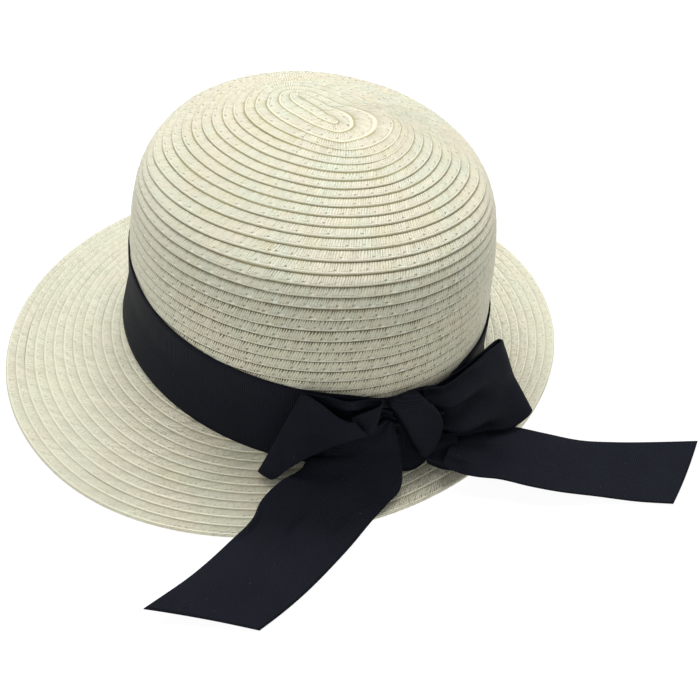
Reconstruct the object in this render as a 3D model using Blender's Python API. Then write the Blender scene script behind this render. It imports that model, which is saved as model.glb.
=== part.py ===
"""A sun hat of spirally sewn straw braid, with a ribbon band and a bow whose two tails lie on the floor.

Metres, +Z up, front toward -Y, bow toward +Y. The turned-down rim stands on z = 0. The foot is the line
where the crown's side meets the brim: it lies in a slightly tilted plane, and the ribbon follows it.
A place on the ribbon is given by three lengths: along the band from the bow, the rise above the foot,
and how far it stands out from the straw.
"""
import math

import bmesh
import bpy
import numpy as np
from mathutils import Vector

# Walls and clearances
STRAW_WALL = 0.0020
RIBBON_WALL = 0.0010
CLEARANCE = 0.0003

# Crown
CROWN_HALF_WIDTH = 0.0865
CROWN_EXTRA_LENGTH = 0.0101
FOOT_HEIGHT = 0.0172
DOME_HEIGHT = 0.0880
FOOT_TILT_X = 0.093
FOOT_TILT_Y = -0.063
LEAN_X = -0.057
LEAN_Y = 0.017

# Brim, from the foot to the rim that it stands on
RIM_HALF_WIDTH = 0.1461
RIM_FRONT_LENGTH = 0.1414
RIM_BACK_LENGTH = 0.1284
RIM_CENTRE_X = 0.0021
RIM_CENTRE_Y = -0.0099
RIM_LAND = 0.0025

# Ribbon
RIBBON_WIDTH = 0.0442
BAND_SEAT = 0.0010
JOINT_RISE = 0.0053
BOW_ANGLE = math.radians(82)
LEFT_TAIL_LENGTH = 0.070
RIGHT_TAIL_LENGTH = 0.0925

# Resolution
COLUMNS = 64
KNOT_SIDES = 16
STRIP_COLUMNS = 6
STRIP_STEPS = 3

# Colours from dry straw and dark ribbed ribbon
STRAW_COLOUR = (0.70, 0.66, 0.50)
RIBBON_COLOUR = (0.012, 0.013, 0.018)

# Crown side: rise above the foot as a share of the ribbon, radius as a share of the half width
SIDE_TABLE = (
    (0.00, 1.022),
    (0.50, 0.988),
    (1.00, 0.999),
)

# Dome: height above the ribbon as a share of the dome, radius as a share of the half width
DOME_TABLE = (
    (0.16, 1.001),
    (0.30, 0.998),
    (0.42, 0.989),
    (0.52, 0.974),
    (0.60, 0.946),
    (0.68, 0.896),
    (0.74, 0.810),
    (0.80, 0.699),
    (0.86, 0.569),
    (0.91, 0.434),
    (0.95, 0.298),
    (0.98, 0.147),
)

# Brim: way out from the foot to the rim, and the share of its drop reached there
BRIM_TABLE = (
    (0.00, 0.00),
    (0.04, 0.10),
    (0.12, 0.20),
    (0.35, 0.40),
    (0.60, 0.62),
    (0.82, 0.82),
    (1.00, 1.00),
)

# Knot, from its top down, in shares of the ribbon's width: rise, left side, right side, front
KNOT_TABLE = (
    (1.01, 0.34, -0.03, 0.17),
    (0.96, 0.35, -0.08, 0.21),
    (0.84, 0.28, -0.16, 0.25),
    (0.66, 0.18, -0.27, 0.27),
    (0.50, 0.10, -0.32, 0.28),
    (0.32, 0.02, -0.28, 0.28),
    (0.18, -0.05, -0.20, 0.27),
    (0.12, -0.07, -0.15, 0.24),
)

# Loops, from the knot out over the front layer, round the fold and back, in shares of the ribbon's width:
# reach from the knot, rise and standing out of the lower edge, then the same of the upper edge
LEFT_LOOP_TABLE = (
    (0.00, 0.54, 0.23, 0.00, 0.93, 0.15),
    (0.30, 0.51, 0.28, 0.22, 0.77, 0.23),
    (0.54, 0.50, 0.31, 0.42, 0.72, 0.27),
    (0.78, 0.47, 0.34, 0.58, 0.90, 0.25),
    (1.13, 0.32, 0.34, 0.72, 1.02, 0.19),
    (1.50, 0.00, 0.31, 0.94, 0.99, 0.13),
    (1.69, -0.06, 0.23, 1.08, 0.91, 0.10),
    (1.54, 0.03, 0.13, 0.96, 0.95, 0.07),
    (0.90, 0.34, 0.08, 0.50, 0.98, 0.06),
    (0.40, 0.54, 0.09, 0.20, 0.96, 0.06),
    (0.00, 0.60, 0.11, 0.00, 0.92, 0.08),
)
RIGHT_LOOP_TABLE = (
    (0.00, 0.50, 0.25, 0.00, 0.97, 0.14),
    (0.23, 0.34, 0.33, 0.42, 1.03, 0.13),
    (0.52, 0.23, 0.42, 0.83, 1.05, 0.13),
    (0.86, 0.10, 0.56, 1.14, 0.98, 0.18),
    (1.14, 0.09, 0.68, 1.32, 0.93, 0.23),
    (1.06, 0.13, 0.54, 1.34, 0.93, 0.14),
    (0.70, 0.26, 0.22, 1.00, 0.96, 0.07),
    (0.30, 0.40, 0.10, 0.50, 0.96, 0.06),
    (0.00, 0.48, 0.11, 0.00, 0.92, 0.07),
)

# Tails where they leave the knot, in shares of the ribbon's width, with the loops' columns
LEFT_TAIL_ROOT = (0.00, 0.21, 0.13, 0.00, 0.44, 0.21)
RIGHT_TAIL_ROOT = (0.00, 0.18, 0.16, 0.00, 0.40, 0.17)

# Tails over the brim and the floor: degrees round from the bow, share of the brim, share of the tail beyond
# the rim and lift of the near edge; then, in ribbon widths, the far edge's turn, step out and lift
LEFT_TAIL_TABLE = (
    (-2.6, 0.46, 0.00, 0.36, 0.60, -0.13, 0.37),
    (-2.4, 0.64, 0.00, 0.25, 1.00, -0.18, 0.35),
    (-3.0, 0.80, 0.00, 0.15, 1.45, -0.19, 0.27),
    (-6.0, 0.93, 0.00, 0.08, 1.52, -0.10, 0.23),
    (-9.6, 1.00, 0.07, 0.07, 1.38, -0.14, 0.23),
    (-12.2, 1.00, 0.24, 0.04, 1.23, -0.27, 0.24),
    (-14.2, 1.00, 0.40, 0.03, 1.10, -0.36, 0.25),
    (-16.7, 1.00, 0.62, 0.03, 0.97, -0.34, 0.25),
    (-18.7, 1.00, 0.83, 0.03, 0.90, -0.10, 0.23),
    (-20.3, 1.00, 1.00, 0.03, 0.92, 0.20, 0.18),
)
RIGHT_TAIL_TABLE = (
    (7.4, 0.82, 0.00, 0.27, -0.36, -0.20, 0.27),
    (9.6, 1.00, 0.03, 0.29, -0.50, -0.33, 0.24),
    (11.6, 1.00, 0.12, 0.29, -0.68, -0.38, 0.20),
    (13.6, 1.00, 0.22, 0.28, -0.77, -0.34, 0.18),
    (14.8, 1.00, 0.36, 0.26, -0.75, -0.28, 0.12),
    (16.6, 1.00, 0.49, 0.20, -0.69, -0.18, 0.05),
    (18.8, 1.00, 0.64, 0.11, -0.60, -0.10, 0.03),
    (20.7, 1.00, 0.83, 0.03, -0.53, -0.02, 0.03),
    (21.6, 1.00, 1.00, 0.03, -0.50, 0.04, 0.03),
)


def clear_scene():
    """Remove whatever the scene holds, so that only the hat is in it."""
    for item in list(bpy.data.objects):
        bpy.data.objects.remove(item)


def leaned(x, y, z):
    """The crown's slight sideways lean, which grows with the height."""
    return np.array((x + LEAN_X * z, y + LEAN_Y * z, z))


def crown_side(theta, rise, out=0.0):
    """A point on the crown's side, at a rise above the foot, moved out from the straw."""
    rises, radii = np.transpose(SIDE_TABLE)
    half = CROWN_HALF_WIDTH * np.interp(rise / RIBBON_WIDTH, rises, radii) + out
    x = half * math.cos(theta)
    y = (half + CROWN_EXTRA_LENGTH) * math.sin(theta)
    return leaned(x, y, FOOT_HEIGHT + rise + FOOT_TILT_X * x + FOOT_TILT_Y * y)


def crown_dome(theta, height_share, radius_share, out=0.0):
    """A point on the dome, whose rings are level."""
    half = (CROWN_HALF_WIDTH + out) * radius_share
    x = half * math.cos(theta)
    y = (half + CROWN_EXTRA_LENGTH) * math.sin(theta)
    return leaned(x, y, FOOT_HEIGHT + RIBBON_WIDTH + (DOME_HEIGHT + out) * height_share)


def rim_point(theta, height):
    """A point of the rim's oval, which is longer in front than at the back."""
    length = RIM_BACK_LENGTH if math.sin(theta) > 0 else RIM_FRONT_LENGTH
    x = RIM_CENTRE_X + RIM_HALF_WIDTH * math.cos(theta)
    return np.array((x, RIM_CENTRE_Y + length * math.sin(theta), height))


def brim_way(theta):
    """The foot and the rim's upper edge at an angle, with the level direction between them and its length."""
    foot = crown_side(theta, 0.0)
    rim = rim_point(theta, STRAW_WALL)
    way = (rim - foot) * (1.0, 1.0, 0.0)
    length = np.linalg.norm(way)
    return foot, rim, way / length, length


def brim_top(theta, out_share):
    """A point on the brim's upper face, at a share of the way from the foot to the rim."""
    foot, rim, _, _ = brim_way(theta)
    drop_share = np.interp(out_share, *np.transpose(BRIM_TABLE))
    return foot + (rim - foot) * (out_share, out_share, drop_share)


def brim_section(theta):
    """The brim's closed outline in one upright plane, with its collar inside the ribbon."""
    _, _, level, _ = brim_way(theta)
    collar_rise = JOINT_RISE - CLEARANCE
    upper = [crown_side(theta, collar_rise)] + [brim_top(theta, row[0]) for row in BRIM_TABLE]
    lower = []
    for before, here, after in zip(upper[:-2], upper[1:-1], upper[2:]):
        forward = (after - here) / np.linalg.norm(after - here) + (here - before) / np.linalg.norm(here - before)
        normal = -forward[2] * level + np.array((0.0, 0.0, forward @ level))
        lower.append(here - STRAW_WALL * normal / np.linalg.norm(normal))
    ground = rim_point(theta, 0.0)
    land = [ground, ground - RIM_LAND * level]
    return upper + land + lower[::-1] + [crown_side(theta, collar_rise, -STRAW_WALL)]


def angles():
    """The angles of the columns round the hat."""
    return [math.tau * k / COLUMNS for k in range(COLUMNS)]


def mesh_object(name, mesh, colour, roughness, parent):
    """An object for a finished bmesh, shaded smooth between sharp edges, with a material of its own."""
    bmesh.ops.recalc_face_normals(mesh, faces=mesh.faces)
    data = bpy.data.meshes.new(name)
    mesh.to_mesh(data)
    mesh.free()
    data.shade_smooth()
    data.set_sharp_from_angle(angle=math.radians(50))
    item = bpy.data.objects.new(name, data)
    bpy.context.scene.collection.objects.link(item)
    item.parent = parent
    material = bpy.data.materials.new(name)
    material.use_nodes = True
    shader = material.node_tree.nodes["Principled BSDF"]
    shader.inputs["Base Color"].default_value = (*colour, 1.0)
    shader.inputs["Roughness"].default_value = roughness
    shader.inputs["Metallic"].default_value = 0.0
    data.materials.append(material)
    return item


def add_ring(mesh, points):
    """A closed ring of vertices."""
    return [mesh.verts.new(point) for point in points]


def join_rings(mesh, ring, other):
    """A band of faces between two rings with as many vertices."""
    for k in range(len(ring)):
        following = (k + 1) % len(ring)
        mesh.faces.new((ring[k], ring[following], other[following], other[k]))


def close_ring(mesh, ring, point):
    """A fan of faces from a ring to one point."""
    tip = mesh.verts.new(point)
    for k in range(len(ring)):
        mesh.faces.new((ring[k], ring[(k + 1) % len(ring)], tip))


def revolve(sections):
    """A ring-shaped solid from the closed outlines of its columns."""
    mesh = bmesh.new()
    rings = [add_ring(mesh, points) for points in zip(*sections)]
    for ring, other in zip(rings, rings[1:] + rings[:1]):
        join_rings(mesh, ring, other)
    return mesh


def make_crown(parent):
    """The crown: an open-bottomed dome whose wall stands on the brim's collar."""
    mesh = bmesh.new()
    rises = (JOINT_RISE, RIBBON_WIDTH * SIDE_TABLE[1][0], RIBBON_WIDTH)
    edges = []
    for out in (0.0, -STRAW_WALL):
        rings = [add_ring(mesh, [crown_side(a, rise, out) for a in angles()]) for rise in rises]
        rings += [add_ring(mesh, [crown_dome(a, high, wide, out) for a in angles()]) for high, wide in DOME_TABLE]
        for ring, other in zip(rings, rings[1:]):
            join_rings(mesh, ring, other)
        close_ring(mesh, rings[-1], leaned(0.0, 0.0, FOOT_HEIGHT + RIBBON_WIDTH + DOME_HEIGHT + out))
        edges.append(rings[0])
    join_rings(mesh, *edges)
    return mesh_object("crown", mesh, STRAW_COLOUR, 0.75, parent)


def make_brim(parent):
    """The brim, from its collar under the ribbon out and down to the rim."""
    mesh = revolve([brim_section(a) for a in angles()])
    return mesh_object("brim", mesh, STRAW_COLOUR, 0.75, parent)


def make_band(parent):
    """The ribbon round the crown, upright on the foot."""
    rises = (BAND_SEAT, RIBBON_WIDTH * SIDE_TABLE[1][0], RIBBON_WIDTH)
    near, far = CLEARANCE, CLEARANCE + RIBBON_WALL
    sections = [[crown_side(a, rise, near) for rise in rises] + [crown_side(a, rise, far) for rise in rises[::-1]]
                for a in angles()]
    return mesh_object("hat_band", revolve(sections), RIBBON_COLOUR, 0.65, parent)


def on_band(along, rise, out):
    """A place given along the band from the bow, above the foot and out from the straw."""
    theta = BOW_ANGLE - along / (CROWN_HALF_WIDTH + CROWN_EXTRA_LENGTH / 2)
    return crown_side(theta, rise) + out * np.array((math.cos(theta), math.sin(theta), 0.0))


def knot_side(rise, side):
    """Where the knot's left side (+1) or right side (-1) lies along the band, at a rise."""
    rises, left, right, _ = np.transpose(KNOT_TABLE[::-1]) * RIBBON_WIDTH
    return np.interp(rise, rises, left if side > 0 else right)


def make_knot(parent):
    """The knot: a short upright roll of ribbon, wrapped round the middle of the bow."""
    mesh = bmesh.new()
    back = 2 * CLEARANCE + RIBBON_WALL
    rings = []
    for row in KNOT_TABLE:
        rise, left, right, front = (share * RIBBON_WIDTH for share in row)
        points = []
        for k in range(KNOT_SIDES):
            turn = math.tau * k / KNOT_SIDES
            across, depth = (math.copysign(math.sqrt(abs(part)), part) for part in (math.cos(turn), math.sin(turn)))
            along = (left + right) / 2 + across * (left - right) / 2
            points.append(on_band(along, rise, (front + back) / 2 + depth * (front - back) / 2))
        rings.append(add_ring(mesh, points))
    for ring, other in zip(rings, rings[1:]):
        join_rings(mesh, ring, other)
    for ring in (rings[0], rings[-1]):
        close_ring(mesh, ring, np.mean([vertex.co for vertex in ring], axis=0))
    return mesh_object("bow_knot", mesh, RIBBON_COLOUR, 0.65, parent)


def strip_row(row, side):
    """Points across a strip beside the knot, from its lower edge to its upper edge."""
    low, high = np.array(row[:3]) * RIBBON_WIDTH, np.array(row[3:]) * RIBBON_WIDTH
    points = []
    for share in np.linspace(0.0, 1.0, STRIP_COLUMNS):
        reach, rise, out = low + (high - low) * share
        gap = CLEARANCE + RIBBON_WALL / 2
        points.append(on_band(knot_side(rise, side) + side * (reach + gap), rise, out))
    return np.array(points)


def ground_point(theta, out, lift):
    """A place over the brim or, past the rim, over the floor."""
    _, rim, level, length = brim_way(theta)
    if out < length:
        base = brim_top(theta, out / length)
    else:
        base = (rim + level * (out - length)) * (1.0, 1.0, 0.0)
    return base + (0.0, 0.0, lift)


def tail_row(row, length):
    """Points across a tail over the brim or the floor, from its near edge to its far edge."""
    degrees, brim_share, tail_share, near_lift, turn, step, far_lift = row
    theta = BOW_ANGLE + math.radians(degrees)
    out = brim_share * brim_way(theta)[3] + tail_share * length
    points = []
    for share in np.linspace(0.0, 1.0, STRIP_COLUMNS):
        lift = near_lift + (far_lift - near_lift) * share
        angle = theta - share * turn * RIBBON_WIDTH / RIM_HALF_WIDTH
        points.append(ground_point(angle, out + share * step * RIBBON_WIDTH, lift * RIBBON_WIDTH))
    return np.array(points)


def smooth_rows(rows):
    """Rows added between the given ones, on smooth curves through them."""
    rows = [2 * rows[0] - rows[1]] + list(rows) + [2 * rows[-1] - rows[-2]]
    smooth = []
    for before, start, end, after in zip(rows, rows[1:], rows[2:], rows[3:]):
        for t in np.arange(STRIP_STEPS) / STRIP_STEPS:
            line = 2 * start + (end - before) * t
            curve = (2 * before - 5 * start + 4 * end - after) * t ** 2
            twist = (3 * start - before - 3 * end + after) * t ** 3
            smooth.append((line + curve + twist) / 2)
    return smooth + [rows[-2]]


def make_strip(name, rows, parent):
    """A length of ribbon through its rows, with its thickness to both sides."""
    mesh = bmesh.new()
    lines = [[mesh.verts.new(point) for point in row] for row in smooth_rows(rows)]
    for line, other in zip(lines, lines[1:]):
        for k in range(STRIP_COLUMNS - 1):
            mesh.faces.new((line[k], line[k + 1], other[k + 1], other[k]))
    item = mesh_object(name, mesh, RIBBON_COLOUR, 0.65, parent)
    thickness = item.modifiers.new("thickness", "SOLIDIFY")
    thickness.thickness = RIBBON_WALL
    thickness.offset = 0.0
    return item


def make_bow(parent):
    """The knot, the two loops and the two tails."""
    make_knot(parent)
    make_strip("bow_loop_left", [strip_row(row, 1) for row in LEFT_LOOP_TABLE], parent)
    make_strip("bow_loop_right", [strip_row(row, -1) for row in RIGHT_LOOP_TABLE], parent)
    left_root = strip_row(LEFT_TAIL_ROOT, 1)[::-1]
    left_rows = [tail_row(row, LEFT_TAIL_LENGTH) for row in LEFT_TAIL_TABLE]
    make_strip("tail_left", [left_root] + left_rows, parent)
    right_root = strip_row(RIGHT_TAIL_ROOT, -1)
    right_rows = [tail_row(row, RIGHT_TAIL_LENGTH) for row in RIGHT_TAIL_TABLE]
    make_strip("tail_right", [right_root] + right_rows, parent)


def centre_on_floor(parent):
    """Move the hat so that the middle of its outer box, seen from above, is the origin."""
    bpy.context.view_layer.update()
    graph = bpy.context.evaluated_depsgraph_get()
    corners = [vertex.co for item in parent.children for vertex in item.evaluated_get(graph).data.vertices]
    low = Vector(min(corner[k] for corner in corners) for k in range(3))
    high = Vector(max(corner[k] for corner in corners) for k in range(3))
    parent.location = -Vector(((low.x + high.x) / 2, (low.y + high.y) / 2, 0.0))


def main():
    """Build the hat."""
    clear_scene()
    hat = bpy.data.objects.new("hat_origin", None)
    bpy.context.scene.collection.objects.link(hat)
    make_crown(hat)
    make_brim(hat)
    make_band(hat)
    make_bow(hat)
    centre_on_floor(hat)


main()
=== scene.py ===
"""The looks of a sun hat: straw braid sewn in a spiral, with a ribbed ribbon round the crown and a bow.

Metres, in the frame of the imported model. The hat's own coordinates have their zero on the floor, under the
middle of the crown's foot, and one shift, read from the brim's box, brings them into the frame.
"""

import logging
import math
from dataclasses import dataclass
from enum import Enum

import bpy
import numpy as np
from mathutils import Matrix, Vector


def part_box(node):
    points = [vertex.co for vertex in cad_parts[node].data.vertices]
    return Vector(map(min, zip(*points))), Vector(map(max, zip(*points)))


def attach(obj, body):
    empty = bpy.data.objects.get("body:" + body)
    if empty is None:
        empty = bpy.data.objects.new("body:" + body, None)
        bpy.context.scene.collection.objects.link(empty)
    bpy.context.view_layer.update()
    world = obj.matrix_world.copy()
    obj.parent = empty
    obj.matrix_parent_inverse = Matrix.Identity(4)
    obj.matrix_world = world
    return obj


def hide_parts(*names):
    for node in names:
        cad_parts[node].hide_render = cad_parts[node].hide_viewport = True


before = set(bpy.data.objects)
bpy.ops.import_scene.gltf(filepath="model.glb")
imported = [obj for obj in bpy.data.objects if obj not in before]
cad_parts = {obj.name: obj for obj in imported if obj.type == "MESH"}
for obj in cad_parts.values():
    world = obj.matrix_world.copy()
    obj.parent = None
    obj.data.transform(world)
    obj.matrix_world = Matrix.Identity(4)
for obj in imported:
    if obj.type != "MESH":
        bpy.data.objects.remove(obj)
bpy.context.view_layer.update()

ROWS_MAP = "rows"
WEAVE_MAP = "weave"

Colour = tuple[float, float, float, float]
Range = tuple[float, float]
Strip = tuple[float, float, float, float]
WHITE = (1.0, 1.0, 1.0, 1.0)

# Points nearer than this are one point, in metres
SAME_POINT = 1e-6

# What keeps a quad's lower edge in its own row on the map, and the rim's last ring in the first row, in rows
MAP_GAP = 1e-5
RIM_GAP = 1e-4

# Which way is sideways for the camera: what X and Y count for, and the way to the crown's middle in metres
SIDEWAYS_X, SIDEWAYS_Y, SIDEWAYS_SHIFT = 0.77, 0.64, 0.0064

log = logging.getLogger("sun_hat")

# Crown side: rise above the foot as a share of the ribbon, radius as a share of the half width
SIDE_TABLE = (
    (0.00, 1.022),
    (0.50, 0.988),
    (1.00, 0.999),
)

# Dome: height above the ribbon as a share of the dome, radius as a share of the half width
DOME_TABLE = (
    (0.16, 1.001),
    (0.30, 0.998),
    (0.42, 0.989),
    (0.52, 0.974),
    (0.60, 0.946),
    (0.68, 0.896),
    (0.74, 0.810),
    (0.80, 0.699),
    (0.86, 0.569),
    (0.91, 0.434),
    (0.95, 0.298),
    (0.98, 0.147),
    (1.00, 0.000),
    (0.98, -0.147),
)

# Brim: way out from the foot to the rim, and the share of its drop reached there
BRIM_TABLE = (
    (0.00, 0.00),
    (0.04, 0.10),
    (0.12, 0.20),
    (0.35, 0.40),
    (0.60, 0.62),
    (0.82, 0.82),
    (1.00, 1.00),
)

# Planes that the crown's seams lie in: the seam, counted from the tip, its height over the middle, and its
# slopes along X and Y
SEAM_TABLE = (
    (3, 0.1483, 0.17, 0.094),
    (7, 0.1415, 0.116, 0.096),
    (11, 0.1323, 0.11, 0.103),
    (15, 0.1198, 0.107, 0.106),
    (19, 0.1030, 0.09, 0.104),
    (23, 0.0825, 0.057, 0.084),
    (27, 0.0611, 0.031, 0.063),
    (33, 0.0290, 0.020, 0.050),
)

# One braid from its tucked upper edge to its rolled lower edge: share of the row, height in millimetres
CROWN_RELIEF = (
    (0.00, -0.55),
    (0.11, -0.25),
    (0.40, 0.00),
    (0.64, 0.16),
    (0.82, 0.38),
    (0.965, 0.30),
)
BRIM_RELIEF = (
    (0.00, -0.13),
    (0.12, -0.05),
    (0.42, 0.01),
    (0.68, 0.03),
    (0.85, 0.08),
    (0.965, 0.06),
)

# Rim, from its upper edge down to the floor: metres out from the rim's oval, height as a share of the wall
RIM_TABLE = (
    (0.00025, 0.72),
    (0.00030, 0.40),
    (0.00000, 0.12),
    (-0.00060, 0.00),
)

# Knot, from its top down, in shares of the ribbon's width: rise, left side, right side, front
KNOT_TABLE = (
    (0.985, 0.08, 0.00, 0.11),
    (0.97, 0.18, -0.03, 0.15),
    (0.945, 0.28, -0.06, 0.19),
    (0.91, 0.33, -0.08, 0.21),
    (0.84, 0.28, -0.15, 0.24),
    (0.66, 0.18, -0.26, 0.27),
    (0.50, 0.10, -0.30, 0.28),
    (0.34, 0.03, -0.25, 0.28),
    (0.20, -0.04, -0.15, 0.26),
    (0.13, -0.06, -0.11, 0.23),
)

# Where the band's upper edge dips, in shares of the ribbon's width: place along it, reach and depth
BAND_DIPS = (
    (3.10, 0.90, 0.045),
    (0.30, 0.33, 0.085),
    (-0.45, 0.28, 0.120),
)

# Loops, from the knot out over the front layer, round the fold and back, in shares of the ribbon's width:
# place along the band from the bow's middle, rise and standing out of the lower edge, then of the upper edge,
# then where across the row a crease lies, as a share, and how far it stands out
LEFT_LOOP_TABLE = (
    (0.13, 0.50, 0.08, 0.34, 0.90, 0.08, 0.5, 0.00),
    (0.38, 0.54, 0.06, 0.39, 0.95, 0.07, 0.5, 0.00),
    (0.53, 0.60, 0.21, 0.45, 0.97, 0.19, 0.4, 0.02),
    (0.63, 0.61, 0.20, 0.74, 0.79, 0.17, 0.5, 0.00),
    (0.60, 0.61, 0.26, 0.74, 0.79, 0.24, 0.5, 0.01),
    (0.78, 0.56, 0.29, 0.81, 0.82, 0.27, 0.5, 0.02),
    (0.98, 0.46, 0.31, 0.91, 0.89, 0.27, 0.5, 0.03),
    (1.19, 0.30, 0.32, 1.05, 0.99, 0.22, 0.5, 0.03),
    (1.35, 0.12, 0.32, 1.17, 1.03, 0.16, 0.5, 0.02),
    (1.49, -0.07, 0.31, 1.25, 1.03, 0.12, 0.5, 0.01),
    (1.63, -0.04, 0.27, 1.28, 1.02, 0.09, 0.5, 0.00),
    (1.56, 0.00, 0.16, 1.24, 1.01, 0.07, 0.5, 0.00),
    (1.15, 0.10, 0.07, 1.02, 1.02, 0.09, 0.5, 0.00),
    (0.85, 0.12, 0.05, 0.80, 1.00, 0.14, 0.5, -0.03),
    (0.55, 0.18, 0.05, 0.55, 0.97, 0.07, 0.5, 0.00),
    (0.10, 0.30, 0.05, 0.33, 0.92, 0.06, 0.5, 0.00),
)
RIGHT_LOOP_TABLE = (
    (-0.28, 0.27, 0.08, -0.11, 0.96, 0.07, 0.2, 0.03),
    (-0.37, 0.27, 0.11, -0.17, 0.97, 0.07, 0.2, 0.03),
    (-0.52, 0.25, 0.29, -0.34, 0.96, 0.14, 0.2, 0.06),
    (-0.80, 0.21, 0.42, -0.76, 0.98, 0.13, 0.2, 0.04),
    (-1.08, 0.10, 0.58, -1.13, 1.00, 0.17, 0.6, 0.03),
    (-1.36, 0.14, 0.68, -1.43, 0.95, 0.24, 0.5, -0.02),
    (-1.29, 0.17, 0.56, -1.46, 0.92, 0.19, 0.5, -0.02),
    (-0.88, 0.28, 0.22, -1.10, 0.91, 0.07, 0.5, 0.00),
    (-0.55, 0.40, 0.10, -0.60, 0.96, 0.06, 0.5, 0.00),
    (-0.33, 0.48, 0.09, -0.12, 0.92, 0.06, 0.5, 0.00),
)

# Tails where they leave the knot, in the loops' measures: near edge, then far edge, then the crease
LEFT_TAIL_ROOT = (
    (0.27, 0.66, 0.14, 0.34, 0.71, 0.13, 0.5, 0.00),
    (0.22, 0.45, 0.17, 0.60, 0.57, 0.11, 0.5, 0.01),
    (0.19, 0.26, 0.21, 0.88, 0.46, 0.10, 0.5, 0.02),
)
RIGHT_TAIL_ROOT = (
    (-0.15, 0.00, 0.20, -0.12, 0.22, 0.18, 0.5, 0.00),
    (-0.26, -0.06, 0.30, -0.26, 0.29, 0.18, 0.5, 0.02),
    (-0.41, -0.10, 0.38, -0.52, 0.27, 0.24, 0.5, 0.02),
)

# Tails over the brim and the floor: degrees round from the bow, share of the brim and share of the tail
# beyond the rim; then, in ribbon widths, the near edge's lift, the far edge's turn, step out and lift, and
# how far a crease in the middle stands up
LEFT_TAIL_TABLE = (
    (-2.6, 0.46, 0.00, 0.33, 1.40, -0.20, 0.22, 0.12),
    (-2.4, 0.64, 0.00, 0.24, 1.62, -0.26, 0.20, 0.10),
    (-3.0, 0.80, 0.00, 0.15, 1.60, -0.22, 0.18, 0.06),
    (-6.0, 0.93, 0.00, 0.08, 1.57, -0.11, 0.21, 0.02),
    (-9.3, 1.00, 0.07, 0.07, 1.42, -0.14, 0.23, 0.00),
    (-11.9, 1.00, 0.24, 0.04, 1.28, -0.27, 0.24, 0.00),
    (-13.8, 1.00, 0.40, 0.03, 1.12, -0.36, 0.25, 0.00),
    (-15.9, 1.00, 0.62, 0.03, 1.02, -0.34, 0.25, 0.00),
    (-18.0, 1.00, 0.84, 0.03, 0.94, -0.10, 0.23, 0.00),
    (-19.8, 1.00, 1.02, 0.03, 0.96, 0.19, 0.18, 0.00),
)
RIGHT_TAIL_TABLE = (
    (7.4, 0.82, 0.00, 0.27, -0.38, -0.20, 0.27, 0.02),
    (9.2, 1.00, 0.03, 0.29, -0.57, -0.33, 0.24, 0.02),
    (11.0, 1.00, 0.12, 0.29, -0.75, -0.38, 0.22, 0.00),
    (13.4, 1.00, 0.22, 0.28, -0.79, -0.34, 0.22, 0.00),
    (15.1, 1.00, 0.36, 0.26, -0.72, -0.28, 0.15, 0.00),
    (16.9, 1.00, 0.49, 0.20, -0.66, -0.18, 0.05, 0.00),
    (19.0, 1.00, 0.64, 0.11, -0.57, -0.10, 0.03, 0.00),
    (20.7, 1.00, 0.83, 0.03, -0.51, -0.02, 0.03, 0.00),
    (21.6, 1.00, 1.00, 0.03, -0.49, 0.04, 0.03, 0.00),
)


def spline(knots: np.ndarray, values: np.ndarray, places: np.ndarray) -> np.ndarray:
    """A smooth curve through values at knots.

    Args:
        knots: rising numbers, one for each value.
        values: the values, with the knots along the first axis.
        places: where the curve is read.

    Returns:
        The curve's values, with the places along the first axis.
    """
    knots, values, places = (np.asarray(item, float) for item in (knots, values, places))
    wide = (-1,) + (1,) * (values.ndim - 1)
    steps = np.diff(knots).reshape(wide)
    slopes = np.diff(values, axis=0) / steps
    inner = (slopes[:-1] * steps[1:] + slopes[1:] * steps[:-1]) / (steps[1:] + steps[:-1])
    tangents = np.concatenate([slopes[:1], inner, slopes[-1:]])
    index = np.clip(np.searchsorted(knots, places, side="right") - 1, 0, len(knots) - 2)
    t = ((places - knots[index]) / np.diff(knots)[index]).reshape(wide)
    start, end = values[index], values[index + 1]
    step = steps[index]
    return (start * (1 + 2 * t) * (1 - t) ** 2 + end * t ** 2 * (3 - 2 * t)
            + step * tangents[index] * t * (1 - t) ** 2 - step * tangents[index + 1] * t ** 2 * (1 - t))


def smoothstep(low: float, high: float, value: np.ndarray) -> np.ndarray:
    """0 at low, 1 at high and smooth between them, whichever is the larger."""
    t = np.clip((np.asarray(value, float) - low) / (high - low), 0.0, 1.0)
    return t * t * (3 - 2 * t)


def ripple(seed: int, turns: np.ndarray, waves: int = 9) -> np.ndarray:
    """A gentle uneven wave round a ring, between about -1 and 1.

    Args:
        seed: which wave.
        turns: the place on the ring, 1 for a whole turn.
        waves: how many sine waves are added.

    Returns:
        The wave's height at each place.
    """
    chance = np.random.default_rng(seed)
    total = np.zeros(np.shape(turns))
    for count in range(1, waves + 1):
        total += chance.normal() / math.sqrt(count) * np.sin(math.tau * (count * turns + chance.random()))
    return total / math.sqrt(waves / 2)


def sideways(x: "np.ndarray | Wire", y: "np.ndarray | Wire") -> "np.ndarray | Wire":
    """How far places in the frame lie to the side of the crown's middle, as the camera sees them."""
    return x * SIDEWAYS_X - y * SIDEWAYS_Y + SIDEWAYS_SHIFT


def outward(theta: np.ndarray) -> np.ndarray:
    """Level directions away from the crown at angles round it."""
    return np.stack([np.cos(theta), np.sin(theta), np.zeros_like(theta)], axis=-1)


def ways(points: np.ndarray) -> np.ndarray:
    """The way from the first to each point of lines, which run along the first axis."""
    steps = np.linalg.norm(np.diff(points, axis=0), axis=-1)
    return np.concatenate([np.zeros_like(steps[:1]), np.cumsum(steps, axis=0)])


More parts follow.
